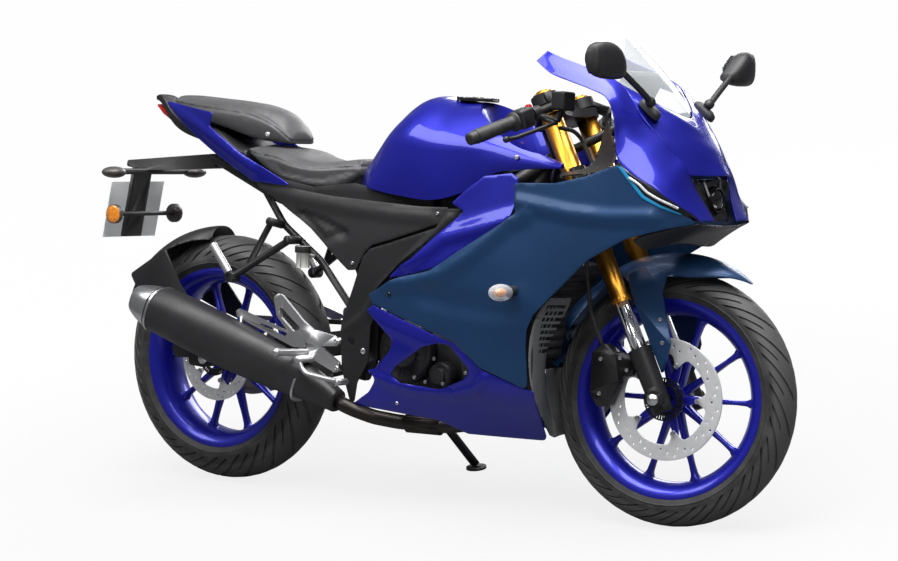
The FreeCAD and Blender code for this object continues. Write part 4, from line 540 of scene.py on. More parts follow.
def ridge_height(ridges, point):
    """How far the creases of a panel lift it at a point."""
    lift = 0
    for line, height, above, below in ridges:
        best, side = 1e9, 1
        for start, end in zip(line, line[1:]):
            start, end = Vector(start), Vector(end)
            along = end - start
            t = max(0, min(1, (point - start).dot(along) / along.length_squared))
            gap = point - (start + along * t)
            if gap.length < best:
                best, side = gap.length, along.cross(gap)
        reach = above if side > 0 else below
        if best < reach:
            lift += height * (0.5 + 0.5 * math.cos(math.pi * best / reach))
    return lift


def out_at(point, stations, heights, depths, ridges):
    """How far out a panel lies at a point of the side view."""
    rows = [run_through(heights, row, point.y) for row in depths]
    return run_through(stations, rows, point.x) + ridge_height(ridges, point)


def mirror_y(obj):
    """Add the same shape on the other side of the machine."""
    only(obj)
    mirror = obj.modifiers.new("mirror", "MIRROR")
    mirror.use_axis = (False, True, False)
    bpy.ops.object.modifier_apply(modifier=mirror.name)
    return obj


def rounded(obj, width, segments=2, sharper=40, shade=45):
    """Round the edges that are sharper than so many degrees."""
    only(obj)
    edge = obj.modifiers.new("edge", "BEVEL")
    edge.width = width * MM
    edge.segments = segments
    edge.limit_method = "ANGLE"
    edge.angle_limit = math.radians(sharper)
    bpy.ops.object.modifier_apply(modifier=edge.name)
    smooth(obj, shade)
    return obj


def walled(obj, thickness, bevel=0.8):
    """Give a skin its wall, inwards, and break its edges."""
    only(obj)
    wall = obj.modifiers.new("wall", "SOLIDIFY")
    wall.thickness = thickness * MM
    wall.offset = -1
    bpy.ops.object.modifier_apply(modifier=wall.name)
    return rounded(obj, bevel, 2, 60, 50)


SURFACE = ("stations", "heights", "depths", "ridges")


def side_panel(name, outline, radii, stations, heights, depths, holes=(), ridges=(), step=7.5, thickness=3):
    """Panel with its outline, holes, creases and wall on a smooth surface, on both sides.

    stations and heights are the x and z of the grid of depths, each row of which is one station."""
    outline = softened(outline, radii)
    holes = [softened(points, corner) for points, corner in holes]
    points, faces = filled(outline, holes, [ridge[0] for ridge in ridges], step)

    skin = [Vector((p.x, -out_at(p, stations, heights, depths, ridges), p.y)) * MM for p in points]
    return mirror_y(walled(from_mesh(name, skin, faces), thickness))


PANELS = {
    # node: finish, shape; a crease is its line, its height, and its reach above and below the line
    "side_fairings": ("paint_teal", dict(
        outline=[(-82, 509), (-70, 488), (19, 460), (155, 418), (184, 410), (260, 354), (395, 312),
                 (390, 411),
                 (394, 451), (413, 486), (451, 522), (555, 616), (649, 668), (725, 691), (779, 705),
                 (756, 738),
                 (698, 784), (657, 809), (618, 834), (540, 806), (456, 789), (341, 787), (352, 718),
                 (312, 691),
                 (217, 637), (108, 574), (17, 555), (-9, 547)],
        radii=[4, 4, 20, 20, 20, 20, 12, 60, 30, 40, 60, 90, 90, 60, 4, 30, 40, 40, 4, 60, 60, 8, 8, 40, 60,
               60,
               10, 10],
        stations=(-110, 60, 200, 340, 480, 620, 710, 790), heights=(290, 400, 500, 600, 700, 850),
        depths=[(176, 184, 189, 188, 180, 168), (195, 200, 204, 203, 196, 184),
                (206, 210, 215, 216, 209, 190),
                (212, 217, 224, 222, 212, 197), (214, 218, 223, 223, 217, 201),
                (205, 211, 218, 220, 217, 205),
                (176, 182, 188, 192, 190, 178), (100, 104, 108, 112, 114, 104)],
        ridges=[([(356, 745), (439, 733), (506, 723), (609, 717), (700, 720)], 6, 26, 34),
                ([(-20, 540), (60, 549), (145, 572), (224, 616), (293, 668), (331, 700), (377, 716)], 5, 20,
                 40),
                ([(90, 512), (171, 500), (274, 492), (351, 488)], -4, 46, 40)])),
    "lower_fairings": ("paint_blue", dict(
        outline=[(-91, 471), (-7, 402), (-16, 378), (-67, 330), (-93, 325), (-65, 307), (-93, 271),
                 (-150, 237),
                 (99, 215), (171, 186), (381, 184), (397, 239), (408, 306), (260, 350), (183, 406),
                 (154, 414),
                 (18, 456), (-71, 484)],
        radii=[3, 20, 20, 30, 3, 10, 30, 4, 60, 20, 20, 40, 8, 20, 20, 20, 20, 3],
        stations=(-170, -40, 80, 200, 320, 430), heights=(175, 240, 300, 360, 430, 500),
        depths=[(110, 158, 170, 176, 178, 176), (118, 162, 178, 186, 190, 190),
                (120, 162, 188, 198, 202, 202),
                (116, 160, 194, 206, 211, 212), (104, 158, 202, 212, 216, 218),
                (84, 158, 206, 215, 219, 220)],
        holes=[([(-21, 318), (0, 341), (85, 392), (136, 405), (171, 402), (230, 344), (204, 321), (133, 293),
                 (12, 301)], [10, 20, 30, 20, 20, 16, 20, 30, 20])],
        ridges=[([(-60, 312), (-15, 300), (55, 287), (168, 284), (236, 302), (268, 331)], 6, 14, 30),
                ([(-66, 462), (-27, 444), (76, 414), (120, 402)], 3, 34, 34)])),
    "tank_side_panels": ("paint_blue", dict(
        outline=[(148, 735), (183, 764), (237, 800), (318, 809), (338, 796), (338, 737), (331, 709),
                 (283, 677),
                 (203, 630), (116, 582), (23, 559), (-26, 552), (10, 581), (46, 600), (106, 651), (188, 716)],
        radii=[4, 20, 30, 10, 8, 10, 20, 60, 60, 40, 10, 3, 20, 20, 40, 6],
        stations=(-60, 60, 160, 260, 370), heights=(530, 600, 660, 730, 820),
        depths=[(186, 184, 180, 172, 164), (197, 192, 185, 176, 166), (205, 201, 192, 179, 168),
                (211, 209, 202, 188, 172), (216, 215, 209, 197, 180)],
        ridges=[([(30, 585), (90, 618), (135, 650), (220, 672), (307, 696), (345, 704)], 6, 40, 26)])),
    "side_covers": ("black_plastic", dict(
        outline=[(-498, 768), (-366, 757), (-239, 742), (-100, 733), (40, 724), (126, 724), (99, 684),
                 (-43, 641),
                 (-98, 627), (-121, 609), (-150, 564), (-175, 562), (-201, 581), (-303, 661), (-430, 735)],
        radii=[4, 60, 60, 60, 60, 4, 20, 40, 20, 20, 12, 12, 30, 60, 20],
        stations=(-520, -350, -200, -50, 150), heights=(550, 640, 700, 790),
        depths=[(116, 120, 124, 122), (134, 137, 137, 130), (150, 150, 146, 138), (160, 161, 158, 148),
                (164, 164, 161, 153)],
        ridges=[([(-470, 757), (-330, 735), (-180, 716), (-40, 704), (70, 700)], 4, 24, 30),
                ([(-330, 700), (-252, 682), (-196, 660)], -5, 6, 34),
                ([(-196, 660), (-250, 640), (-330, 698)], -4, 30, 6)])),
    "pivot_covers": ("frame_paint", dict(
        outline=[(176, 722), (148, 688), (0, 588), (-80, 512), (-62, 472), (-88, 432), (-97, 346),
                 (-138, 290),
                 (-152, 242), (-165, 242), (-184, 318), (-182, 434), (-146, 520), (-116, 598), (-96, 618),
                 (-42, 632), (103, 675), (130, 721)],
        radii=[6, 20, 60, 12, 10, 30, 30, 30, 6, 6, 30, 20, 60, 20, 20, 30, 10, 6],
        stations=(-200, -100, 0, 100, 200), heights=(230, 350, 450, 560, 650, 740),
        depths=[(146, 160, 164, 162, 160, 158), (150, 168, 174, 174, 168, 162),
                (152, 171, 177, 179, 174, 168),
                (154, 172, 178, 180, 176, 170), (155, 172, 178, 180, 177, 172)],
        holes=[([(-133, 392), (-148, 377), (-163, 392), (-148, 407)], [13, 13, 13, 13])],
        ridges=[([(-176, 414), (-108, 456), (-60, 520), (30, 601), (140, 700)], 5, 16, 26)])),
    "tail_panels": ("paint_blue", dict(
        outline=[(-849, 974), (-637, 943), (-643, 908), (-533, 845), (-352, 762), (-486, 772), (-617, 836),
                 (-760, 915)],
        radii=[6] * 8,
        stations=(-900, -850, -750, -640, -530, -350), heights=(740, 840, 900, 990),
        depths=[(20, 35, 45, 40), (42, 57, 64, 56), (78, 92, 96, 88), (106, 122, 127, 116),
                (130, 141, 140, 128),
                (150, 153, 149, 140)],
        ridges=[([(-830, 964), (-700, 915), (-600, 862), (-480, 800)], 4, 20, 24)])),
}


# Skins through rows of points, each row running across the machine.

def lengths_of(points):
    """How far along a line each of its points is, from 0 to 1."""
    total, found = 0, [0]
    for start, end in zip(points, points[1:]):
        total += max((end - start).length, 1e-6)
        found.append(total)
    return [value / total for value in found]


def resampled(points, count):
    """So many points along a smooth curve through the given ones."""
    points = [Vector(p) for p in points]
    at = lengths_of(points)
    return [Vector([run_through(at, [p[axis] for p in points], k / (count - 1)) for axis in range(3)])
            for k in range(count)]


def grid_skin(name, rows, along, across, thickness, flip=False, mirror=False):
    """Walled skin through rows of points, with so many points along the rows' order and across it."""
    dense = [resampled(row, across) for row in rows]
    columns = [resampled([row[j] for row in dense], along) for j in range(across)]
    points = [columns[j][i] * MM for i in range(along) for j in range(across)]
    faces = []
    for i in range(along - 1):
        for j in range(across - 1):
            a = i * across + j
            face = (a, a + 1, a + across + 1, a + across)
            faces.append(face[::-1] if flip else face)
    obj = walled(from_mesh(name, points, faces), thickness)
    return mirror_y(obj) if mirror else obj


def whole_rows(rows):
    """Rows given from the right-hand edge to the middle, carried on to the left-hand edge."""
    return [list(row) + [(x, -y, z) for x, y, z in reversed(row[:-1])] for row in rows]


def joined(name, objects):
    """Several pieces made one."""
    deselect()
    for obj in objects:
        obj.select_set(True)
    bpy.context.view_layer.objects.active = objects[0]
    if len(objects) > 1:
        bpy.ops.object.join()
    whole = bpy.context.object
    whole.name = name
    return whole


COWL_CHEEK = [
    # inner point on the screen's edge and then the crease, outer point on the lower edge, bulge
    ((400, -161, 1092), (376, -170, 1068), 0), ((440, -157, 1074), (420, -180, 1040), 2),
    ((480, -151, 1060), (476, -184, 1021), 3), ((535, -142, 1038), (533, -187, 1003), 4),
    ((582, -132, 1014), (577, -191, 984), 5), ((613, -134, 976), (601, -196, 939), 6),
    ((636, -134, 944), (609, -201, 890), 6), ((662, -129, 914), (622, -204, 842), 6),
    ((689, -120, 885), (657, -196, 811), 6), ((713, -106, 857), (698, -180, 785), 5),
    ((735, -96, 830), (722, -166, 764), 4), ((742, -84, 800), (742, -150, 748), 3),
    ((752, -74, 772), (756, -136, 735), 2), ((768, -61, 740), (770, -118, 722), 1),
    ((784, -50, 709), (780, -112, 710), 0),
]
COWL_HOOD = [
    # from the crease to the middle, top row along the screen's lower edge
    ((582, -132, 1014), (621, -96, 987), (662, -46, 957), (685, 0, 940)),
    ((613, -134, 976), (656, -96, 956), (694, -48, 935), (712, 0, 916)),
    ((636, -134, 944), (682, -94, 926), (716, -47, 904), (732, 0, 890)),
    ((662, -129, 914), (702, -90, 898), (734, -45, 880), (748, 0, 870)),
    ((689, -120, 885), (722, -82, 872), (748, -41, 858), (760, 0, 850)),
    ((713, -106, 857), (740, -72, 846), (760, -36, 836), (771, 0, 832)),
    ((742, -90, 812), (760, -62, 811), (776, -31, 811), (784, 0, 812)),
]
SCREEN = [
    ((580, -130.3, 1018), (619, -94, 991), (660, -45, 961), (683, 0, 944)),
    ((534, -138, 1041), (575, -100, 1031), (615, -50, 1016), (634, 0, 1006)),
    ((478, -146, 1064), (516, -110, 1074), (548, -56, 1080), (562, 0, 1082)),
    ((414, -152, 1090), (441, -112, 1118), (470, -56, 1144), (485, 0, 1156)),
]


def cowl():
    """Nose in two skins: a cheek on each side of the screen, and the hood between their creases."""
    cheek_rows = []
    for inner, outer, bulge in COWL_CHEEK:
        inner, outer = Vector(inner), Vector(outer)
        cheek_rows.append([inner, (inner + outer) / 2 + Vector((0.3, -1, 0.2)) * bulge, outer])
    cheek = grid_skin("cheek", cheek_rows, 90, 16, 3, flip=True, mirror=True)
    hood = grid_skin("hood", whole_rows(COWL_HOOD), 40, 60, 3)
    dress_for("upper_cowl", joined("nose_cowl", [cheek, hood]), "paint_blue")


class BIKE_OT_panels(bpy.types.Operator):
    """Mould the fairings, covers and tail panels with their creases, and the nose cowl and screen"""
    bl_idname = "sport_bike.panels"
    bl_label = "Panels"

    def execute(self, context):
        for node, (look, shape) in PANELS.items():
            dress_for(node, side_panel(node + "_moulded", **shape), look)
        cowl()
        screen = grid_skin("screen", whole_rows(SCREEN), 50, 60, 2.4)
        dress_for("windscreen", screen, "screen_clear")
        return {"FINISHED"}


# Turned and repeated pieces, made about the Y axis and then aimed.

def lathe(name, profile, turns=64, closed=True):
    """Turn a profile of (radius, y) about Y."""
    points, faces = [], []
    count = len(profile)
    for i in range(turns):
        angle = FULL_TURN * i / turns
        points += [Vector((r * math.cos(angle), y, r * math.sin(angle))) * MM for r, y in profile]
    for i in range(turns):
        here, there = i * count, (i + 1) % turns * count
        for j in range(count if closed else count - 1):
            k = (j + 1) % count
            faces.append((here + j, here + k, there + k, there + j))
    obj = from_mesh(name, points, faces)
    tidy_mesh(obj, 1e-6)
    return obj


def aimed(obj, at, way):
    """Turn a piece made about Y so that Y runs along way, and set it at a point."""
    turn = Vector(way).normalized().to_track_quat("Y", "Z").to_matrix().to_4x4()
    obj.data.transform(Matrix.Translation(Vector(at) * MM) @ turn)
    return obj


def on_axle(obj, body):
    """Move a piece made about the origin to its wheel's axle."""
    obj.data.transform(Matrix.Translation(AXLES[body]))
    return obj


def polar(radius, angle):
    """Point of the side view at a distance and an angle from the middle."""
    return Vector((radius * math.cos(angle), radius * math.sin(angle)))


def circle(middle, radius, count):
    return [middle + polar(radius, FULL_TURN * k / count) for k in range(count)]


def plate(name, outline, holes, y_from, y_to, step, bevel=0.4):
    """A flat piece in the side view with open holes, between two depths."""
    points, faces = filled(outline, holes, [], step)
    obj = from_mesh(name, [Vector((p.x, y_from, p.y)) * MM for p in points], faces)
    return walled(obj, abs(y_to - y_from), bevel)


def bolt_head(radius, height):
    """Button head with a round socket, its seat at y = 0."""
    obj = lathe("bolt", [(0, height * 0.35), (radius * 0.42, height * 0.35), (radius * 0.46, height),
                         (radius * 0.8, height * 0.92), (radius, height * 0.45), (radius, 0), (0, 0)], 20)
    smooth(obj, 40)
    return obj


def bolt_set(name, places, radius, body="frame", look="bright_steel", height=3.2):
    """Copies of one bolt at (point, way) places, joined into one piece."""
    first = bolt_head(radius, height)
    heads = []
    for at, way in places:
        heads.append(aimed(copied(first, name), at, way))
    bpy.data.objects.remove(first)
    dress(joined(name, heads), look, body)


def both(places):
    """The same places on the right and on the left."""
    return places + [((x, -y, z), (a, -b, c)) for (x, y, z), (a, b, c) in places]


def superellipse(wide, tall, power, count):
    """Oval that is squarer the higher its power is, an ellipse at 2."""
    found = []
    for k in range(count):
        c, s = polar(1, FULL_TURN * k / count)
        reach = (abs(c) ** power + abs(s) ** power) ** (-1 / power)
        found.append((wide * reach * c, tall * reach * s))
    return found


def bridged(name, rings, shade):
    """Closed skin over rings with equally many points, capped at both ends."""
    count = len(rings[0])
    points = [point * MM for ring in rings for point in ring]
    faces = []
    for i in range(len(rings) - 1):
        for j in range(count):
            k = (j + 1) % count
            faces.append((i * count + j, i * count + k, (i + 1) * count + k, (i + 1) * count + j))
    last = (len(rings) - 1) * count
    faces += [tuple(range(count)), tuple(range(last, last + count))]
    obj = from_mesh(name, points, faces)
    tidy_mesh(obj, 1e-6)
    smooth(obj, shade)
    return obj


def tube(name, path, radius, steps=40, sides=12):
    """Round bar along a smooth curve through points."""
    line = resampled(path, steps)
    rings = []
    for i, point in enumerate(line):
        along = (line[min(i + 1, steps - 1)] - line[max(i - 1, 0)]).normalized()
        side = along.cross(Vector((0, 0, 1)) if abs(along.z) < 0.9 else Vector((0, 1, 0))).normalized()
        up = side.cross(along)
        rings.append([point + side * x + up * y for x, y in superellipse(radius, radius, 2, sides)])
    return bridged(name, rings, 50)


def cut_away(obj, cutter):
    """Take one piece's shape out of another."""
    only(obj)
    cut = obj.modifiers.new("cut", "BOOLEAN")
    cut.operation = "DIFFERENCE"
    cut.solver = "EXACT"
    cut.object = cutter
    bpy.ops.object.modifier_apply(modifier=cut.name)
    bpy.data.objects.remove(cutter)


# Wheels.

RIM_FLANGE = 232              # radius of the rim's edge, on which the tyre's wall ends
RIM_WIDTH = {"front_wheel": 92, "rear_wheel": 122}
TREAD_PITCHES = 22            # how often the grooves repeat round a tyre
GROOVE_COLUMNS = (0, 0.03, 0.13, 0.16, 0.50, 0.53, 0.60, 0.63)
LONG_GROOVE = (0.09, 0.93, 4.5)       # from, to across the tread, 0 at its middle and 1 at its edge; depth
SHORT_GROOVE = (0.5, 0.86, 4)
GROOVES = {1: LONG_GROOVE, 2: LONG_GROOVE, 5: SHORT_GROOVE,
           6: SHORT_GROOVE}   # the left side is half a pitch on
WALL_RIBS = ((0.12, 0), (0.3, 0.6), (0.36, 1.6), (0.42, 0.8), (0.6, 0.8), (0.8, 0.2), (1, 0))
DISC_HALF = 2.2               # half the thickness of a brake disc


def tyre(node, radius, width, look):
    """Round-crowned tyre with slanted grooves pressed into its tread."""
    body = BODY_OF[node]
    half = width / 2
    bead = RIM_WIDTH[body] / 2 - 3.75
    profile = []
    for k in range(21):
        v = k / 20
        angle = math.radians(84 * v)
        profile.append((radius - half + half * math.cos(angle), half * math.sin(angle), v, angle))
    top, wide = profile[-1][:2]
    for t, out in WALL_RIBS:
        profile.append((top + (RIM_FLANGE + 1 - top) * t, wide + (bead + 3.7 - wide) * t ** 1.6 + out,
                        2, math.pi / 2))
    profile.append((RIM_FLANGE - 9, bead, 2, 0))
    rows = [(r, -y, v, -angle) for r, y, v, angle in reversed(profile[1:])] + profile
    points, faces = [], []
    for n in range(TREAD_PITCHES):
        for column, part in enumerate(GROOVE_COLUMNS):
            for r, y, v, angle in rows:
                low, high, depth = GROOVES.get(column if y < 0 else (column + 4) % 8, (0, 0, 0))
                around = FULL_TURN / TREAD_PITCHES * (n + part + 1.7 * min(v, 1) ** 1.25)
                if low < v < high:
                    r, y = r - depth * math.cos(angle), y - depth * math.sin(angle)
                points.append(Vector((r * math.cos(around), y, r * math.sin(around))) * MM + AXLES[body])
    count, total = len(rows), TREAD_PITCHES * len(GROOVE_COLUMNS)
    for i in range(total):
        here, there = i * count, (i + 1) % total * count
        faces += [(here + j, here + j + 1, there + j + 1, there + j) for j in range(count - 1)]
    obj = from_mesh(node + "_treaded", points, faces)
    smooth(obj, 38)
    dress_for(node, obj, look)


def lobed(radius, tip, sharpness):
    """A circle with five lobes that reach in or out to another radius."""
    found = []
    for k in range(150):
        angle = FULL_TURN * k / 150
        swell = max(0, math.cos(5 * angle)) ** sharpness
        found.append(polar(radius + (tip - radius) * swell, angle))
    return found


def brake_disc(node, radius, inner, bolts, y):
    """Drilled braking band with lobes in to its bolts."""
    body = BODY_OF[node]
    holes = [lobed(inner, bolts - 9, 5)]
    for k in range(45):
        row = (0.24, 0.5, 0.76)[k % 3]
        angle = FULL_TURN * k / 45 + 0.05 * (k // 3 % 2)
        holes.append(circle(polar(inner + 4 + (radius - inner - 6) * row, angle), 2.6, 10))
    spots = [polar(bolts, FULL_TURN * (k + 1) / 5) for k in range(5)]
    holes += [circle(spot, 4, 12) for spot in spots]
    obj = plate(node + "_drilled", circle(Vector((0, 0)), radius, 160), holes, y + DISC_HALF, y - DISC_HALF,
                7)
    dress_for(node, on_axle(obj, body), "disc_steel")
    middle = AXLES[body] / MM
    bolt_set(node + "_bolts", [((middle.x + spot.x, y - DISC_HALF, middle.z + spot.y), (0, -1, 0))
                               for spot in spots], 6.5, body, height=5)


def tone_ring(name, y, radius, body):
    """Slotted ring that the wheel sensor reads."""
    pieces = [lathe("ring", [(outer, y), (outer, y - 3), (inner, y - 3), (inner, y)], 72)
              for outer, inner in ((radius, radius - 3), (radius - 12, radius - 18))]
    points, faces = [], []
    for k in range(44):
        first = len(points)
        for r in (radius - 13, radius - 2):
            for part in (-0.27, 0.27):
                at = polar(r, FULL_TURN * (k + part) / 44)
                points += [Vector((at.x, depth, at.y)) * MM for depth in (y, y - 3)]
        faces += [tuple(first + i for i in face)
                  for face in ((0, 1, 3, 2), (4, 6, 7, 5), (0, 2, 6, 4), (1, 5, 7, 3))]
    pieces.append(from_mesh("teeth", points, faces))
    dress(on_axle(joined(name, pieces), body), "gloss_black", body)


def hub_star(name, y_from, y_to, reach, body):
    """Five-lobed seat of the brake disc on the hub."""
    obj = plate(name, lobed(40, reach + 9, 3), [circle(Vector((0, 0)), 18, 30)], y_from, y_to, 6, 1)
    dress(on_axle(obj, body), "rim_blue", body=body)


SPOKE = [
    # distance from the axle, half width across the machine, half thickness
    (24, 19, 11), (50, 17, 8.6), (120, 13.5, 6.4), (166, 11.5, 6.2), (184, 12, 8.5), (197, 15, 17),
]


def rim(node, hub_half):
    """Cast wheel: barrel with rolled lips, hub and ten spokes that spread where they meet the barrel."""
    body = BODY_OF[node]
    h = RIM_WIDTH[body] / 2
    barrel = lathe("barrel", [(RIM_FLANGE, h), (216, h - 5), (216, 5 - h), (RIM_FLANGE, -h), (226, -h),
                              (211, 6 - h),
                              (194, 30 - h), (192, 0), (194, h - 30), (211, h - 6), (226, h)], 120)
    rounded(barrel, 1.6, 3)
    hub = lathe("hub", [(7.9, hub_half), (24, hub_half), (34, hub_half - 12), (36, 0), (34, 12 - hub_half),
                        (24, -hub_half), (7.9, -hub_half)], 60)
    rounded(hub, 1.5)
    at = [row[0] for row in SPOKE]
    rings = []
    for k in range(25):
        r = at[0] + (at[-1] - at[0]) * k / 24
        wide, thick = (run_through(at, [row[i] for row in SPOKE], r) for i in (1, 2))
        rings.append([Vector((r, y, z)) for y, z in superellipse(wide, thick, 3.2, 20)])
    spoke = bridged("spoke", rings, 50)
    pieces = [barrel, hub]
    for k in range(10):
        turned = copied(spoke, "spoke")
        turned.data.transform(Matrix.Rotation(FULL_TURN * k / 10, 4, "Y"))
        pieces.append(turned)
    bpy.data.objects.remove(spoke)
    dress_for(node, on_axle(joined(node + "_cast", pieces), body), "rim_blue")


class BIKE_OT_wheels(bpy.types.Operator):
    """Build the grooved tyres, cast rims, drilled discs, tone rings and the hub's seat"""
    bl_idname = "sport_bike.wheels"
    bl_label = "Wheels"

    def execute(self, context):
        tyre("front_tyre", FRONT_RADIUS / MM, 100, "tyre")
        tyre("rear_tyre", REAR_RADIUS / MM, 140, "tyre_rear")
        rim("front_rim", 40)
        rim("rear_rim", 44)
        brake_disc("front_disc", 141, 104, 82, -62)
        brake_disc("rear_disc", 110, 80, 60, -66)
        hub_star("front_hub_star", -50, -59, 82, "front_wheel")
        tone_ring("front_tone_ring", -66, 50, "front_wheel")
        tone_ring("rear_tone_ring", -70, 46, "rear_wheel")
        return {"FINISHED"}


# Padded seats: closed sections lofted along the machine, blown up a little by a cloth simulation.

def pull_curve(points, count):
    """Points along runs of corner, pull, corner."""
    found = []
    for i in range(0, len(points) - 1, 2):
        a, b, c = (Vector(p) for p in points[i:i + 3])
        for k in range(count):
            t = k / count
            found.append(a * (1 - t) ** 2 + b * (2 * t * (1 - t)) + c * t ** 2)
    found.append(Vector(points[-1]))
    return found


def eased(start, end, count):
    """Values from start to end, closest together at both ends."""
    return [start + (end - start) * (0.5 - 0.5 * math.cos(math.pi * k / (count - 1))) for k in range(count)]


def section_loft(name, sections, along, per_run=6):
    """Closed skin along X through half sections (x, [(y, z) from the top middle to the bottom middle])."""
    start, end = sections[0][0], sections[-1][0]
    in_order = sorted(sections)
    at = [x for x, _ in in_order]
    halves = [pull_curve(half, per_run) for _, half in in_order]
    count = len(halves[0])
    points, faces = [], []
    for x in eased(start, end, along):
        half = [Vector([run_through(at, [one[j][axis] for one in halves], x) for axis in (0, 1)])
                for j in range(count)]
        ring = [(x, -p.x, p.y) for p in half] + [(x, p.x, p.y) for p in reversed(half[1:-1])]
        points += [Vector(p) * MM for p in ring]
    size = 2 * count - 2
    for i in range(along - 1):
        for j in range(size):
            k = (j + 1) % size
            faces.append((i * size + j, i * size + k, (i + 1) * size + k, (i + 1) * size + j))
    faces += [tuple(range(size)), tuple(range((along - 1) * size, along * size))]
    obj = from_mesh(name, points, faces)
    tidy_mesh(obj)
    return obj


def cushion_sections(stations):
    """Half sections of a pad from its table of stations."""
    found = []
    for x, top, shoulder, wide, low, bottom in stations:
        drop = shoulder - (shoulder - low) * 0.2
        found.append((x, [(0, top), (wide * 0.55, top), (wide * 0.8, shoulder), (wide, shoulder),
                          (wide, drop),
                          (wide, low), (wide * 0.9, bottom), (wide * 0.5, bottom), (0, bottom)]))
    return found


PAD_VOXEL = 0.006             # size of the pad's even mesh
PAD_REACH = 0.006             # the furthest that the cover moves out
PAD_FRAMES = 20


def puffed(obj, held_at):
    """Blow the pad up as its foam fills its cover, with its base held, and keep the movement small."""
    only(obj)
    remesh = obj.modifiers.new("even", "REMESH")
    remesh.mode = "VOXEL"
    remesh.voxel_size = PAD_VOXEL
    bpy.ops.object.modifier_apply(modifier=remesh.name)
    held = obj.vertex_groups.new(name="base")
    held.add([v.index for v in obj.data.vertices if held_at(v.co)], 1.0, "ADD")
    start = [v.co.copy() for v in obj.data.vertices]
    cloth = obj.modifiers.new("cover", "CLOTH")
    cloth.settings.quality = 5
    cloth.settings.use_pressure = True
    cloth.settings.uniform_pressure_force = 4
    cloth.settings.vertex_group_mass = held.name
    cloth.settings.effector_weights.gravity = 0
    cloth.point_cache.frame_start = 1
    cloth.point_cache.frame_end = PAD_FRAMES
    for step in range(1, PAD_FRAMES + 1):
        bpy.context.scene.frame_set(step)
    grown = obj.evaluated_get(bpy.context.evaluated_depsgraph_get())
    ends = [v.co.copy() for v in grown.data.vertices]
    obj.modifiers.remove(cloth)
    bpy.context.scene.frame_set(1)
    for vertex, first, last in zip(obj.data.vertices, start, ends):
        move = last - first
        if move.length > PAD_REACH:
            move = move.normalized() * PAD_REACH
        vertex.co = first + move
    divide = obj.modifiers.new("fine", "SUBSURF")
    divide.levels = divide.render_levels = 1
    bpy.ops.object.modifier_apply(modifier=divide.name)
    smooth(obj, 60)


def seam(obj, depth, width, line_at):
    """Press a sewn channel into a pad where line_at(point) is near zero."""
    for vertex in obj.data.vertices:
        gap = abs(line_at(vertex.co)) / width
        if gap < 1:
            vertex.co -= vertex.normal * depth * (1 - gap * gap) ** 2


RIDER_SEAT = [
    # x, top middle z, top edge z, half width, lower edge z, bottom z
    (-207, 829, 823, 63, 801, 792), (-250, 825, 819, 85, 772, 762), (-312, 819, 815, 109, 764, 758),
    (-380, 829, 823, 123, 774, 770), (-434, 847, 839, 125, 792, 788), (-490, 855, 847, 117, 824, 818),
    (-538, 861, 855, 101, 848, 844),
]
PILLION_SEAT = [
    (-439, 895, 881, 49, 869, 865), (-470, 933, 911, 67, 873, 869), (-532, 959, 941, 81, 881, 877),
    (-600, 969, 953, 87, 901, 897), (-720, 979, 965, 77, 931, 927), (-833, 989, 979, 47, 971, 967),
]


class BIKE_OT_seats(bpy.types.Operator):
    """Fill the rider's and the pillion's seats and press their sewn channels"""
    bl_idname = "sport_bike.seats"
    bl_label = "Seats"

    def execute(self, context):
        for node, stations, fill in (("rider_seat", RIDER_SEAT, 0.75), ("pillion_seat", PILLION_SEAT, 0.8)):
            rows = sorted(stations)
            at, edge, low = ([row[i] * MM for row in rows] for i in (0, 2, 4))
            pad = section_loft(node + "_padded", cushion_sections(stations), 48)
            puffed(pad, lambda p: p.z < run_through(at, low, p.x) + 0.004)
            seam(pad, 0.0022, 0.005, lambda p: p.z - run_through(at, edge, p.x) + 0.008)
            dress_for(node, pad, "seat_vinyl")
        return {"FINISHED"}


TANK = [
    # x, and half the section from the top middle to the bottom middle, as runs of corner, pull, corner
    (-186, [(0, 826), (22, 826), (44, 822), (62, 816), (70, 806), (78, 790), (84, 772), (70, 764), (0, 762)]),
    (-140, [(0, 892), (34, 890), (60, 872), (92, 850), (104, 818), (122, 790), (124, 764), (80, 756),
            (0, 754)]),
    (-92, [(0, 938), (44, 936), (74, 914), (112, 896), (122, 858), (138, 800), (136, 756), (80, 750),
           (0, 748)]),
    (-30, [(0, 982), (56, 980), (90, 950), (128, 930), (140, 880), (150, 810), (146, 748), (90, 744),
           (0, 744)]),
    (90, [(0, 978), (60, 976), (98, 948), (136, 920), (150, 872), (158, 800), (156, 742), (100, 742),
          (0, 742)]),
    (180, [(0, 968), (56, 966), (96, 940), (134, 912), (150, 868), (156, 820), (154, 768), (100, 762),
           (0, 762)]),
    (250, [(0, 945), (50, 944), (92, 926), (132, 904), (150, 862), (157, 836), (155, 806), (100, 800),
           (0, 800)]),
    (330, [(0, 905), (50, 904), (90, 892), (138, 880), (152, 850), (158, 836), (157, 818), (100, 814),
           (0, 814)]),
    (438, [(0, 842), (50, 842), (90, 840), (140, 838), (153, 830), (157, 826), (156, 822), (100, 820),
           (0, 820)]),
]
HEAD_ROOM = 144               # radius of the recess in which the bars swing
TUNNEL = [(-160, 700), (-160, 784), (20, 812), (200, 826), (330, 860), (520, 900), (520, 700)]
CAP = Vector((96, 0, 976))
CAP_UP = Vector((0.055, 0, 1)).normalized()


def disc_at(radius, low, high, at, way, turns):
    """Round block from low to high along its way, to cut a well with."""
    return aimed(lathe("well", [(0, low), (radius, low), (radius, high), (0, high)], turns), at, way)


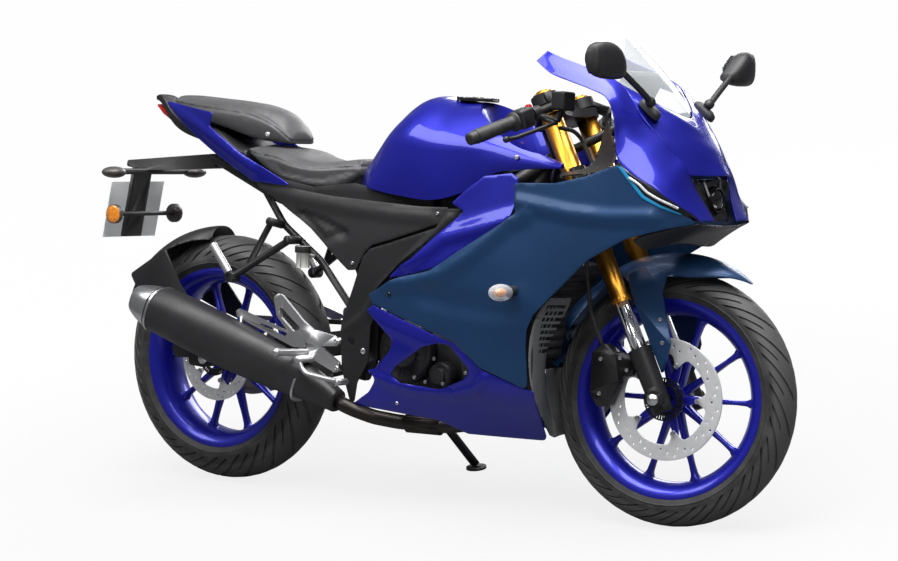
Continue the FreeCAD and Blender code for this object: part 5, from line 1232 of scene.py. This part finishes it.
def tank():
    """Lofted tank with its head recess, its tunnel and the well of the filler cap."""
    shell = section_loft("fuel_tank_lofted", TANK, 96, 9)
    foot, top = steer_axis_at(0.7), steer_axis_at(1.1)
    cut_away(shell, disc_at(HEAD_ROOM, 0, (top - foot).length / MM, foot / MM, STEER_UP, 96))
    front = steer_axis_at(0.9).x / MM
    nose = [(front, 760), (front, 1060), (front + 300, 1060), (front + 300, 760)]
    for points, half in ((nose, 142), (TUNNEL, 88)):
        cut_away(shell, plate("room", [Vector(p) for p in points], [], -half, half, 40))
    cut_away(shell, disc_at(52, 2, 40, CAP, CAP_UP, 80))
    cut_away(shell, disc_at(22, -8, 10, CAP, CAP_UP, 40))
    smooth(shell, 32)
    dress_for("fuel_tank", shell, "paint_blue")


def filler():
    """Collar of the well, and the bolts of the cap."""
    collar = lathe("filler_collar", [(45.5, 2.3), (45.5, 9), (47, 10.5), (51, 10.5), (51.6, 9), (51.6, 2.3)],
                   90)
    smooth(collar, 40)
    dress(aimed(collar, CAP, CAP_UP), "gloss_black")
    spots = [CAP + polar(36, FULL_TURN * (k + 0.3) / 5).to_3d() + CAP_UP * 10 for k in range(5)]
    bolt_set("cap_bolts", [(spot, CAP_UP) for spot in spots], 3.4, "fuel_cap", height=2.2)


class BIKE_OT_tank(bpy.types.Operator):
    """Loft the tank and fit the collar of its cap"""
    bl_idname = "sport_bike.tank"
    bl_label = "Tank"

    def execute(self, context):
        tank()
        filler()
        return {"FINISHED"}


# Lamps and mirrors.

def inlay(name, outline, lift, thickness, look):
    """Thin strip that follows the side fairing."""
    shape = dict(PANELS["side_fairings"][1])
    shape.update(outline=outline, radii=[2] * len(outline), ridges=(), step=6, thickness=thickness)
    shape["depths"] = [tuple(out + lift for out in row) for row in shape["depths"]]
    dress(side_panel(name, **shape), look)


def rod(name, path, radius, look):
    """Smooth bar, the same on both sides."""
    dress(mirror_y(tube(name, path, radius)), look)


LAMP_BAND = [(622, 833), (657, 810), (698, 785), (730, 760), (757, 739), (772, 716), (764, 722), (748, 732),
             (722, 745), (688, 766), (660, 798), (634, 828)]
CYAN_STRIPE = [(619, 833), (634, 828), (660, 798), (688, 766), (722, 745), (748, 732), (760, 724), (744, 729),
               (718, 741), (683, 761), (654, 794), (628, 824)]


LAMP_WEB = [((622, -203, 842), (618, -206, 834)), ((657, -195, 811), (657, -203, 809)),
            ((698, -179, 785), (698, -190, 784)), ((722, -165, 764), (727, -175, 761)),
            ((742, -149, 748), (756, -151, 738)), ((770, -117, 722), (778, -117, 712))]
LIGHT_BAR = [(652, -208, 806), (676, -203, 791), (690, -198, 777), (716, -188, 760), (740, -172, 747),
             (753, -160, 739)]
LIGHT_GUIDE = [(747, -36, 799), (756, -28, 768), (763, -20, 745), (766, -12, 741)]


def running_lamps():
    """Dark band below each cheek with its light bar and the bright stripe along its lower edge."""
    inlay("lamp_band", LAMP_BAND, 1.6, 1.4, "gloss_black")
    inlay("cyan_stripe", CYAN_STRIPE, 1.9, 1.6, "stripe_cyan")
    web = grid_skin("lamp_web", LAMP_WEB, 40, 4, 2, flip=True, mirror=True)
    dress(web, "gloss_black")
    rod("light_bar", LIGHT_BAR, 3.2, "lamp_white")


def headlamp():
    """Gloss recess in the nose with a projector lens between two upright light guides."""
    smoothed_copy("headlamp", "gloss_black")
    dome = [(24 * math.sin(math.radians(a)), 11 * math.cos(math.radians(a))) for a in range(0, 91, 10)]
    lens = lathe("lens", dome + [(24, -8), (0, -8)], 40)
    smooth(lens, 50)
    dress(aimed(lens, (760, 0, 757), (1, 0, 0)), "gloss_black")
    bezel = lathe("bezel", [(25, -8), (25, 4), (29, 6), (30.5, 2), (30.5, -8)], 60)
    smooth(bezel, 40)
    dress(aimed(bezel, (762, 0, 757), (1, 0, 0)), "gloss_black")
    rod("light_guides", LIGHT_GUIDE, 2.6, "lamp_white")


def half_turn(step):
    """Profile of a ball of radius 1."""
    return [(math.sin(math.radians(a)), math.cos(math.radians(a))) for a in range(0, 181, step)]


def front_signals():
    """Clear teardrop lens with its amber bulb on a short black stub."""
    lens = lathe("indicator_lens", half_turn(9), 32, closed=False)
    lens.data.transform(Matrix.Diagonal((22, 33, 20, 1)))
    bulb = copied(lens, "indicator_bulb")
    for obj, size in ((lens, 1), (bulb, 0.55)):
        obj.data.transform(Matrix.Translation(Vector((350, -264, 536)) * MM)
                           @ Matrix.Rotation(math.radians(-14), 4, "Z") @ Matrix.Scale(size, 4))
        smooth(obj, 60)
        mirror_y(obj)
    dress_for("front_signals", lens, "lens_glass")
    dress(bulb, "lamp_amber")
    stub = tube("indicator_stub", [(355, -240, 538), (359, -222, 539), (362, -205, 540)], 12.5, 12, 20)
    dress(mirror_y(stub), "black_plastic")


MIRROR_GLASS_X = 627
MIRROR_HEAD = [
    # y, lowest z, highest z, front x
    (-363, 1054, 1082, 646), (-360, 1042, 1092, 654), (-350, 1032, 1101, 662), (-328, 1025, 1105, 672),
    (-304, 1023, 1104, 678), (-282, 1023, 1094, 679), (-264, 1025, 1078, 674), (-250, 1029, 1062, 666),
    (-241, 1034, 1052, 658),
]
MIRROR_ARM = [(652, -246, 1042), (655, -210, 1022), (659, -165, 996), (661, -132, 975)]
MIRROR_FOOT = Vector((654.3, -123.3, 961.2))
FOOT_TURN = Matrix(((0.756, 0, 0.655), (0, 1, 0), (-0.655, 0, 0.756)))     # the cowl's slope under the foot
MIRROR_EDGE = [(-362, 1044), (-361, 1090), (-348, 1104), (-292, 1102), (-246, 1070), (-252, 1030),
               (-300, 1022),
               (-350, 1030)]
MIRROR_MIDDLE = Vector((-304, 1064))


def mirror_head():
    """Tapered shell, flat towards the rider."""
    rings = []
    ys = [row[0] for row in MIRROR_HEAD]
    for y in eased(ys[0], ys[-1], 30):
        low, high, front = (run_through(ys, [row[i] for row in MIRROR_HEAD], y) for i in (1, 2, 3))
        middle = Vector(((MIRROR_GLASS_X + front) / 2, y, (low + high) / 2))
        rings.append([middle + Vector((a, 0, b))
                      for a, b in superellipse((front - MIRROR_GLASS_X) / 2, (high - low) / 2, 3, 36)])
    return bridged("head", rings, 60)


def mirrors():
    """Mirror heads on arms with a ball at the foot."""
    arm = tube("arm", MIRROR_ARM, 7.5, 24, 20)
    ball = lathe("ball", [(12 * r, 14 * y) for r, y in half_turn(12)], 32, closed=False)
    smooth(ball, 60)
    aimed(ball, (660, -134, 977), (0, -1, 0.55))
    foot = bridged("foot", [[Vector((x * grow, y * grow, z)) for x, y in superellipse(31, 14.5, 3, 40)]
                            for z, grow in ((-8, 1), (1, 1), (5, 0.93), (9, 0.72))], 40)
    foot.data.transform(Matrix.Translation(MIRROR_FOOT * MM) @ FOOT_TURN.to_4x4())
    whole = joined("mirrors_moulded", [mirror_head(), arm, ball, foot])
    dress_for("mirrors", mirror_y(whole), "black_plastic")


def mirror_glass():
    """Silvered plate a little inside the head's edge."""
    corners = [MIRROR_MIDDLE + (Vector(point) - MIRROR_MIDDLE) * 0.86 for point in reversed(MIRROR_EDGE)]
    glass = from_mesh("mirror_glass", [Vector((MIRROR_GLASS_X - 1.4, *corner)) * MM for corner in corners],
                      [tuple(range(len(corners)))])
    dress(mirror_y(walled(glass, 0.8, 0.3)), "mirror_glass")


class BIKE_OT_lamps(bpy.types.Operator):
    """Build the headlamp, the running lamps, the indicators and the mirrors"""
    bl_idname = "sport_bike.lamps"
    bl_label = "Lamps and mirrors"

    def execute(self, context):
        headlamp()
        running_lamps()
        front_signals()
        mirrors()
        mirror_glass()
        return {"FINISHED"}


# Bolts and other small parts.


SHROUD_ROWS = [((455, -212, 524), (470, -152, 524)), ((414, -210, 480), (444, -152, 470)),
               ((394, -206, 420), (414, -152, 418)), ((393, -204, 360), (400, -168, 357))]


def louvre_bars():
    """Fine upright bars across the louvres of the radiator shrouds."""
    bars = []
    for part in (0.22, 0.38, 0.54, 0.70):
        line = resampled([Vector(a).lerp(Vector(b), part) for a, b in SHROUD_ROWS], 30)[4:24]
        bars.append(tube("bar", line, 1.7, 16, 8))
    dress(mirror_y(joined("louvre_bars", bars)), "grey_plastic")


BOLTS = [
    # panel, x, z, radius, finish
    ("side_fairings", -15, 513, 5.5, "gloss_black"), ("lower_fairings", -9, 250, 5, "bright_steel"),
    ("side_covers", 96, 708, 5, "bright_steel"), ("side_covers", -160, 580, 5, "bright_steel"),
    ("pivot_covers", -112, 369, 7.5, "bright_steel"),
]


BOLT_SETS = [
    # name, places (point, way), radius, body, height of the head
    ("tank_bolts", both([((316, -156, 845), (0, -1, 0.15))]), 6, "frame", 3.2),
    ("cover_bolts", [((x, -165, z), (0, -1, 0)) for x, z in
                     ((97, 363), (123, 305), (72, 306), (188, 335), (40, 315))], 5, "frame", 3.2),
    ("fender_bolts", both([((655, -88, 478), (0, -1, 0)), ((662, -88, 425), (0, -1, 0))]), 5.5, "steering",
     3.2),
    ("caliper_bolts", [((560, -92, 385), (0, -1, 0)), ((578, -92, 358), (0, -1, 0)),
                       ((512, -96, 300), (0, -1, 0)), ((512, -96, 380), (0, -1, 0))], 5.5, "steering", 3.2),
    ("footrest_bolts", both([((-197, -166, 388), (0, -1, 0)), ((-195, -166, 322), (0, -1, 0))]),
     6.5, "frame", 3.2),
    ("seat_lock", [((-486, -84, 889), (0, -1, 0.2))], 7, "frame", 4),
]
SILENCER_FRONT = Vector((-196, -158, 240))
SILENCER_REAR = Vector((-752, -190, 442))
SILENCER_BANDS = [
    # name, how far along, half width, half height
    ("silencer_seam", 0.19, 35.5, 47.5), ("silencer_seam_rear", 0.985, 57, 59),
]


def bolts():
    """Bolts of the panels, square to their surface, and of the other parts."""
    for node, x, z, radius, look in BOLTS:
        shape = PANELS[node][1]
        depth, ahead, above = (out_at(Vector(point), *(shape[key] for key in SURFACE))
                               for point in ((x, z), (x + 6, z), (x, z + 6)))
        way = Vector(((depth - ahead) / 6, -1, (depth - above) / 6))
        bolt_set("panel_bolt", both([((x, -depth, z), tuple(way.normalized()))]), radius, look=look)
    for name, places, radius, body, height in BOLT_SETS:
        bolt_set(name, places, radius, body, height=height)


def kill_switch():
    switch = lathe("kill_switch", [(0, -4), (8, -4), (8, 4), (6, 6), (0, 6)], 24)
    smooth(switch, 40)
    dress(aimed(switch, (350, -200, 952), (-0.3, 0, 1)), "lamp_red", body="steering")


def reflectors():
    for side in (-1, 1):
        disc = lathe("reflector", [(0, 2.4), (12, 2.2), (22, 1.2), (23, 0), (0, 0)], 40)
        smooth(disc, 50)
        dress(aimed(disc, (-968, side * 124.2, 675), (0, side, 0)), "lamp_amber")


def silencer_bands():
    """Raised straps round the silencer."""
    along = (SILENCER_REAR - SILENCER_FRONT).normalized()
    side = Vector((0, 1, 0))
    up = side.cross(along).normalized()
    for name, away, wide, tall in SILENCER_BANDS:
        middle = SILENCER_FRONT.lerp(SILENCER_REAR, away)
        rings = []
        for shift, grow in ((-3, -0.6), (-3, 0.9), (3, 0.9), (3, -0.6)):
            rings.append([middle + along * shift + side * y + up * z
                          for y, z in superellipse(wide + grow, tall + grow, 2.6, 60)])
        dress(bridged(name, rings, 40), "bright_steel")


CLOSING_PANEL = [
    ((380, -116, 353), (366, -60, 352), (354, 0, 350)), ((360, -76, 287), (356, -40, 290), (352, 0, 292)),
    ((366, -62, 232), (358, -30, 232), (354, 0, 232)), ((382, -68, 190), (370, -36, 190), (364, 0, 190)),
]
BACKING = [(-165, 575), (-110, 632), (110, 706), (325, 735), (335, 712), (300, 672), (217, 620), (108, 560),
           (-70, 500), (-140, 520)]
SKIRT = [(-500, 776), (-430, 747), (-300, 727), (-180, 715), (150, 700), (150, 746), (-30, 752), (-186, 774),
         (-312, 762), (-400, 778), (-500, 812)]
EDGE = [(370, 300), (397, 300), (397, 470), (370, 470)]


def closing_panels():
    """Dark panels behind the covers' seams, and the one that closes the fairing ahead of the sump."""
    front = grid_skin("closing_panel", whole_rows(CLOSING_PANEL), 30, 30, 2.5)
    dress(front, "grey_plastic")
    for name, outline, radius, y, thickness in (("seam_backing", BACKING, 10, -142, 2.5),
                                                ("seat_skirt", SKIRT, 6, -118, 2),
                                                ("edge_backing", EDGE, 6, -199, 2)):
        dark = plate(name, softened(outline, [radius] * len(outline)), [], y, y - thickness, 20)
        dress(mirror_y(dark), "black_plastic")


def reservoir_cap():
    lid = lathe("reservoir_cap", [(0, -0.6), (20.6, -0.6), (20.6, 15), (18, 17), (0, 17)], 48)
    rounded(lid, 0.6)
    dress(aimed(lid, (-322, -142, 600), (0, 0, 1)), "black_plastic")


def pillion_pegs():
    peg = tube("pillion_pegs", [(-530, -178, 543), (-554, -181, 577), (-579, -184, 611)], 10.6, 16, 24)
    dress(mirror_y(peg), "footrest_metal")


class BIKE_OT_small_parts(bpy.types.Operator):
    """Add the bolts, louvre bars, straps, reflectors, switch, cap, pegs and closing panels"""
    bl_idname = "sport_bike.small_parts"
    bl_label = "Small parts"

    def execute(self, context):
        louvre_bars()
        bolts()
        kill_switch()
        reflectors()
        silencer_bands()
        closing_panels()
        reservoir_cap()
        pillion_pegs()
        return {"FINISHED"}


# CAD nodes whose own shape shows.

SHADED = [
    "tail_unit", "inner_panels", "radiator_shrouds", "front_fender", "rear_hugger", "main_frame", "swingarm",
    "rear_axle", "rear_shock", "engine", "engine_covers", "radiator", "exhaust_pipe", "muffler",
    "muffler_tip",
    "tail_lamp", "plate_holder", "number_plate", "rear_signals", "rear_caliper", "chain", "dash",
    "footrests", "pillion_footrests", "rear_reservoir", "fork_lower_legs", "fork_outer_tubes",
    "fork_inner_tubes", "front_axle", "triple_clamps", "handlebars", "grips", "hand_controls", "hand_levers",
    "front_caliper", "brake_hose", "rear_sprocket", "side_stand", "fuel_cap",
]
OTHER_LOOK = {"pillion_footrests": "frame_paint"}


class BIKE_OT_shaded(bpy.types.Operator):
    """Give the solid pieces smooth shading and their finishes"""
    bl_idname = "sport_bike.shaded"
    bl_label = "Solid pieces"

    def execute(self, context):
        for node in SHADED:
            smoothed_copy(node, OTHER_LOOK.get(node))
        return {"FINISHED"}


# Camera, floor and lamps.

CAMERA = {"azimuth": 35.023, "elevation": 2.978, "roll": 1.006, "distance": 6.5609, "lens": 107.71,
          "target": Vector((0.01993, 0, 0.5407))}
FLOOR_SEEN = (0.34, 0.34, 0.34)       # the floor's colour where the camera sees the shadow on it
SHADOW_SHARE = 0.17                   # how much of it the camera sees, near the machine
EDGE_SHARE = 0.01                     # and far away
ROOM_LIGHT = ((0.93, 0.95, 1.0, 1), 0.17)
LAMPS = [
    # name, place and target in the upright drawing, width, height, watts
    ("over", (0.4, -0.9, 4.2), (0, 0, 0.5), 4.5, 3.0, 420),
    ("key", (3.2, -3.0, 4.0), (0, 0, 0.6), 2.2, 2.0, 110),
    ("side", (-3.0, -3.2, 3.8), (0, 0, 0.5), 2.2, 2.0, 90),
    ("rim", (-1.0, 4.0, 2.6), (0, 0, 0.7), 3.0, 1.6, 110),
]


def make_camera(context):
    """Camera at the photograph's angle, set in the upright drawing and then leaned with the machine."""
    azimuth, elevation, roll = (math.radians(CAMERA[key]) for key in ("azimuth", "elevation", "roll"))
    back = Vector((math.sin(azimuth) * math.cos(elevation), -math.cos(azimuth) * math.cos(elevation),
                   math.sin(elevation)))
    right = (-back).cross(Vector((0, 0, 1))).normalized()
    up = right.cross(-back)
    turned_right = right * math.cos(roll) + up * math.sin(roll)
    turned_up = up * math.cos(roll) - right * math.sin(roll)
    view = Matrix((turned_right, turned_up, back)).transposed().to_4x4()
    view.translation = CAMERA["target"] + back * CAMERA["distance"]
    data = bpy.data.cameras.new("photo_camera")
    data.lens = CAMERA["lens"]
    data.sensor_width = 36
    camera = bpy.data.objects.new("photo_camera", data)
    context.collection.objects.link(camera)
    camera.matrix_world = PARK @ view
    context.scene.camera = camera


def make_floor():
    """Pale floor that the camera sees as white, with a soft shadow near the machine."""
    deselect()
    bpy.ops.mesh.primitive_plane_add(size=80, location=(0, 0, 0))
    floor = bpy.context.object
    floor.name = "floor"
    made = Finish("floor_white", (0.15, 0.15, 0.15), 0.9)
    made.set("Base Color", made.blend(made.noise(4, 3), (0.14, 0.14, 0.145), (0.16, 0.16, 0.165)))
    rays = made.node("ShaderNodeLightPath")
    seen = rays["Is Camera Ray"].maths("MAXIMUM", rays["Is Transmission Ray"])
    away = made.node("ShaderNodeVectorMath", {"operation": "LENGTH"}, {0: made.place()})["Value"]
    white_share = away.step(0.6, 2.2) * (SHADOW_SHARE - EDGE_SHARE) + (1 - SHADOW_SHARE)
    shadowed = made.node("ShaderNodeBsdfDiffuse", None, {"Color": FLOOR_SEEN})["BSDF"]
    glow = made.node("ShaderNodeEmission")["Emission"]
    white = made.node("ShaderNodeMixShader", None, {0: white_share, 1: shadowed, 2: glow})["Shader"]
    plain = Amount(made, made.shader.outputs[0])
    both_ways = made.node("ShaderNodeMixShader", None, {0: seen, 1: plain, 2: white})["Shader"]
    made.set("Surface", both_ways, made.tree.nodes["Material Output"])
    floor.data.materials.append(made.material)


def make_lamps(level):
    """Soft area lamps over and around the machine."""
    for name, place, target, wide, tall, watts in LAMPS:
        data = bpy.data.lights.new("lamp_" + name, "AREA")
        data.shape = "RECTANGLE"
        data.size = wide
        data.size_y = tall
        data.energy = watts * level
        lamp_object = bpy.data.objects.new("lamp_" + name, data)
        bpy.context.collection.objects.link(lamp_object)
        way = PARK.to_3x3() @ (Vector(target) - Vector(place))
        lamp_object.matrix_world = (Matrix.Translation(PARK @ Vector(place))
                                    @ way.to_track_quat("-Z", "Y").to_matrix().to_4x4())


def make_world():
    """Dim room for the light, white where the camera looks past the machine."""
    world = bpy.data.worlds.new("studio")
    bpy.context.scene.world = world
    world.use_nodes = True
    tree = world.node_tree
    room = tree.nodes["Background"]
    backdrop = tree.nodes.new("ShaderNodeBackground")
    for node, (color, strength) in ((room, ROOM_LIGHT), (backdrop, ((1, 1, 1, 1), 1))):
        node.inputs["Color"].default_value = color
        node.inputs["Strength"].default_value = strength
    rays = tree.nodes.new("ShaderNodeLightPath")
    mix = tree.nodes.new("ShaderNodeMixShader")
    for socket, source in enumerate((rays.outputs["Is Camera Ray"], room.outputs[0], backdrop.outputs[0])):
        tree.links.new(source, mix.inputs[socket])
    tree.links.new(mix.outputs[0], tree.nodes["World Output"].inputs["Surface"])


class BIKE_OT_stage(bpy.types.Operator):
    """Set up the camera, the pale floor and the soft studio lamps"""
    bl_idname = "sport_bike.stage"
    bl_label = "Stage"

    def execute(self, context):
        make_camera(context)
        make_floor()
        make_lamps(context.scene.sport_bike_looks.lamp_level)
        make_world()
        context.scene.view_settings.view_transform = "Standard"
        return {"FINISHED"}


class BIKE_PT_panel(bpy.types.Panel):
    """Colours, lamp level and steps of the sport bike"""
    bl_idname = "BIKE_PT_panel"
    bl_label = "Sport Bike"
    bl_space_type = "VIEW_3D"
    bl_region_type = "UI"
    bl_category = "Sport Bike"

    def draw(self, context):
        looks = context.scene.sport_bike_looks
        for name in ("body_blue", "satin_teal", "lamp_level"):
            self.layout.prop(looks, name)
        for operator in OPERATORS:
            self.layout.operator(operator.bl_idname)


OPERATORS = (BIKE_OT_stage, BIKE_OT_panels, BIKE_OT_wheels, BIKE_OT_seats, BIKE_OT_tank, BIKE_OT_lamps,
             BIKE_OT_small_parts, BIKE_OT_shaded)
CLASSES = (SportBikeLooks,) + OPERATORS + (BIKE_PT_panel,)


def register():
    for item in CLASSES:
        bpy.utils.register_class(item)
    bpy.types.Scene.sport_bike_looks = bpy.props.PointerProperty(type=SportBikeLooks)


def unregister():
    del bpy.types.Scene.sport_bike_looks
    for item in reversed(CLASSES):
        bpy.utils.unregister_class(item)


def main():
    register()
    make_finishes(bpy.context.scene.sport_bike_looks)
    bpy.ops.sport_bike.stage()
    bpy.ops.sport_bike.panels()
    bpy.ops.sport_bike.wheels()
    bpy.ops.sport_bike.seats()
    bpy.ops.sport_bike.tank()
    bpy.ops.sport_bike.lamps()
    bpy.ops.sport_bike.small_parts()
    bpy.ops.sport_bike.shaded()


if __name__ == "__main__":
    main()
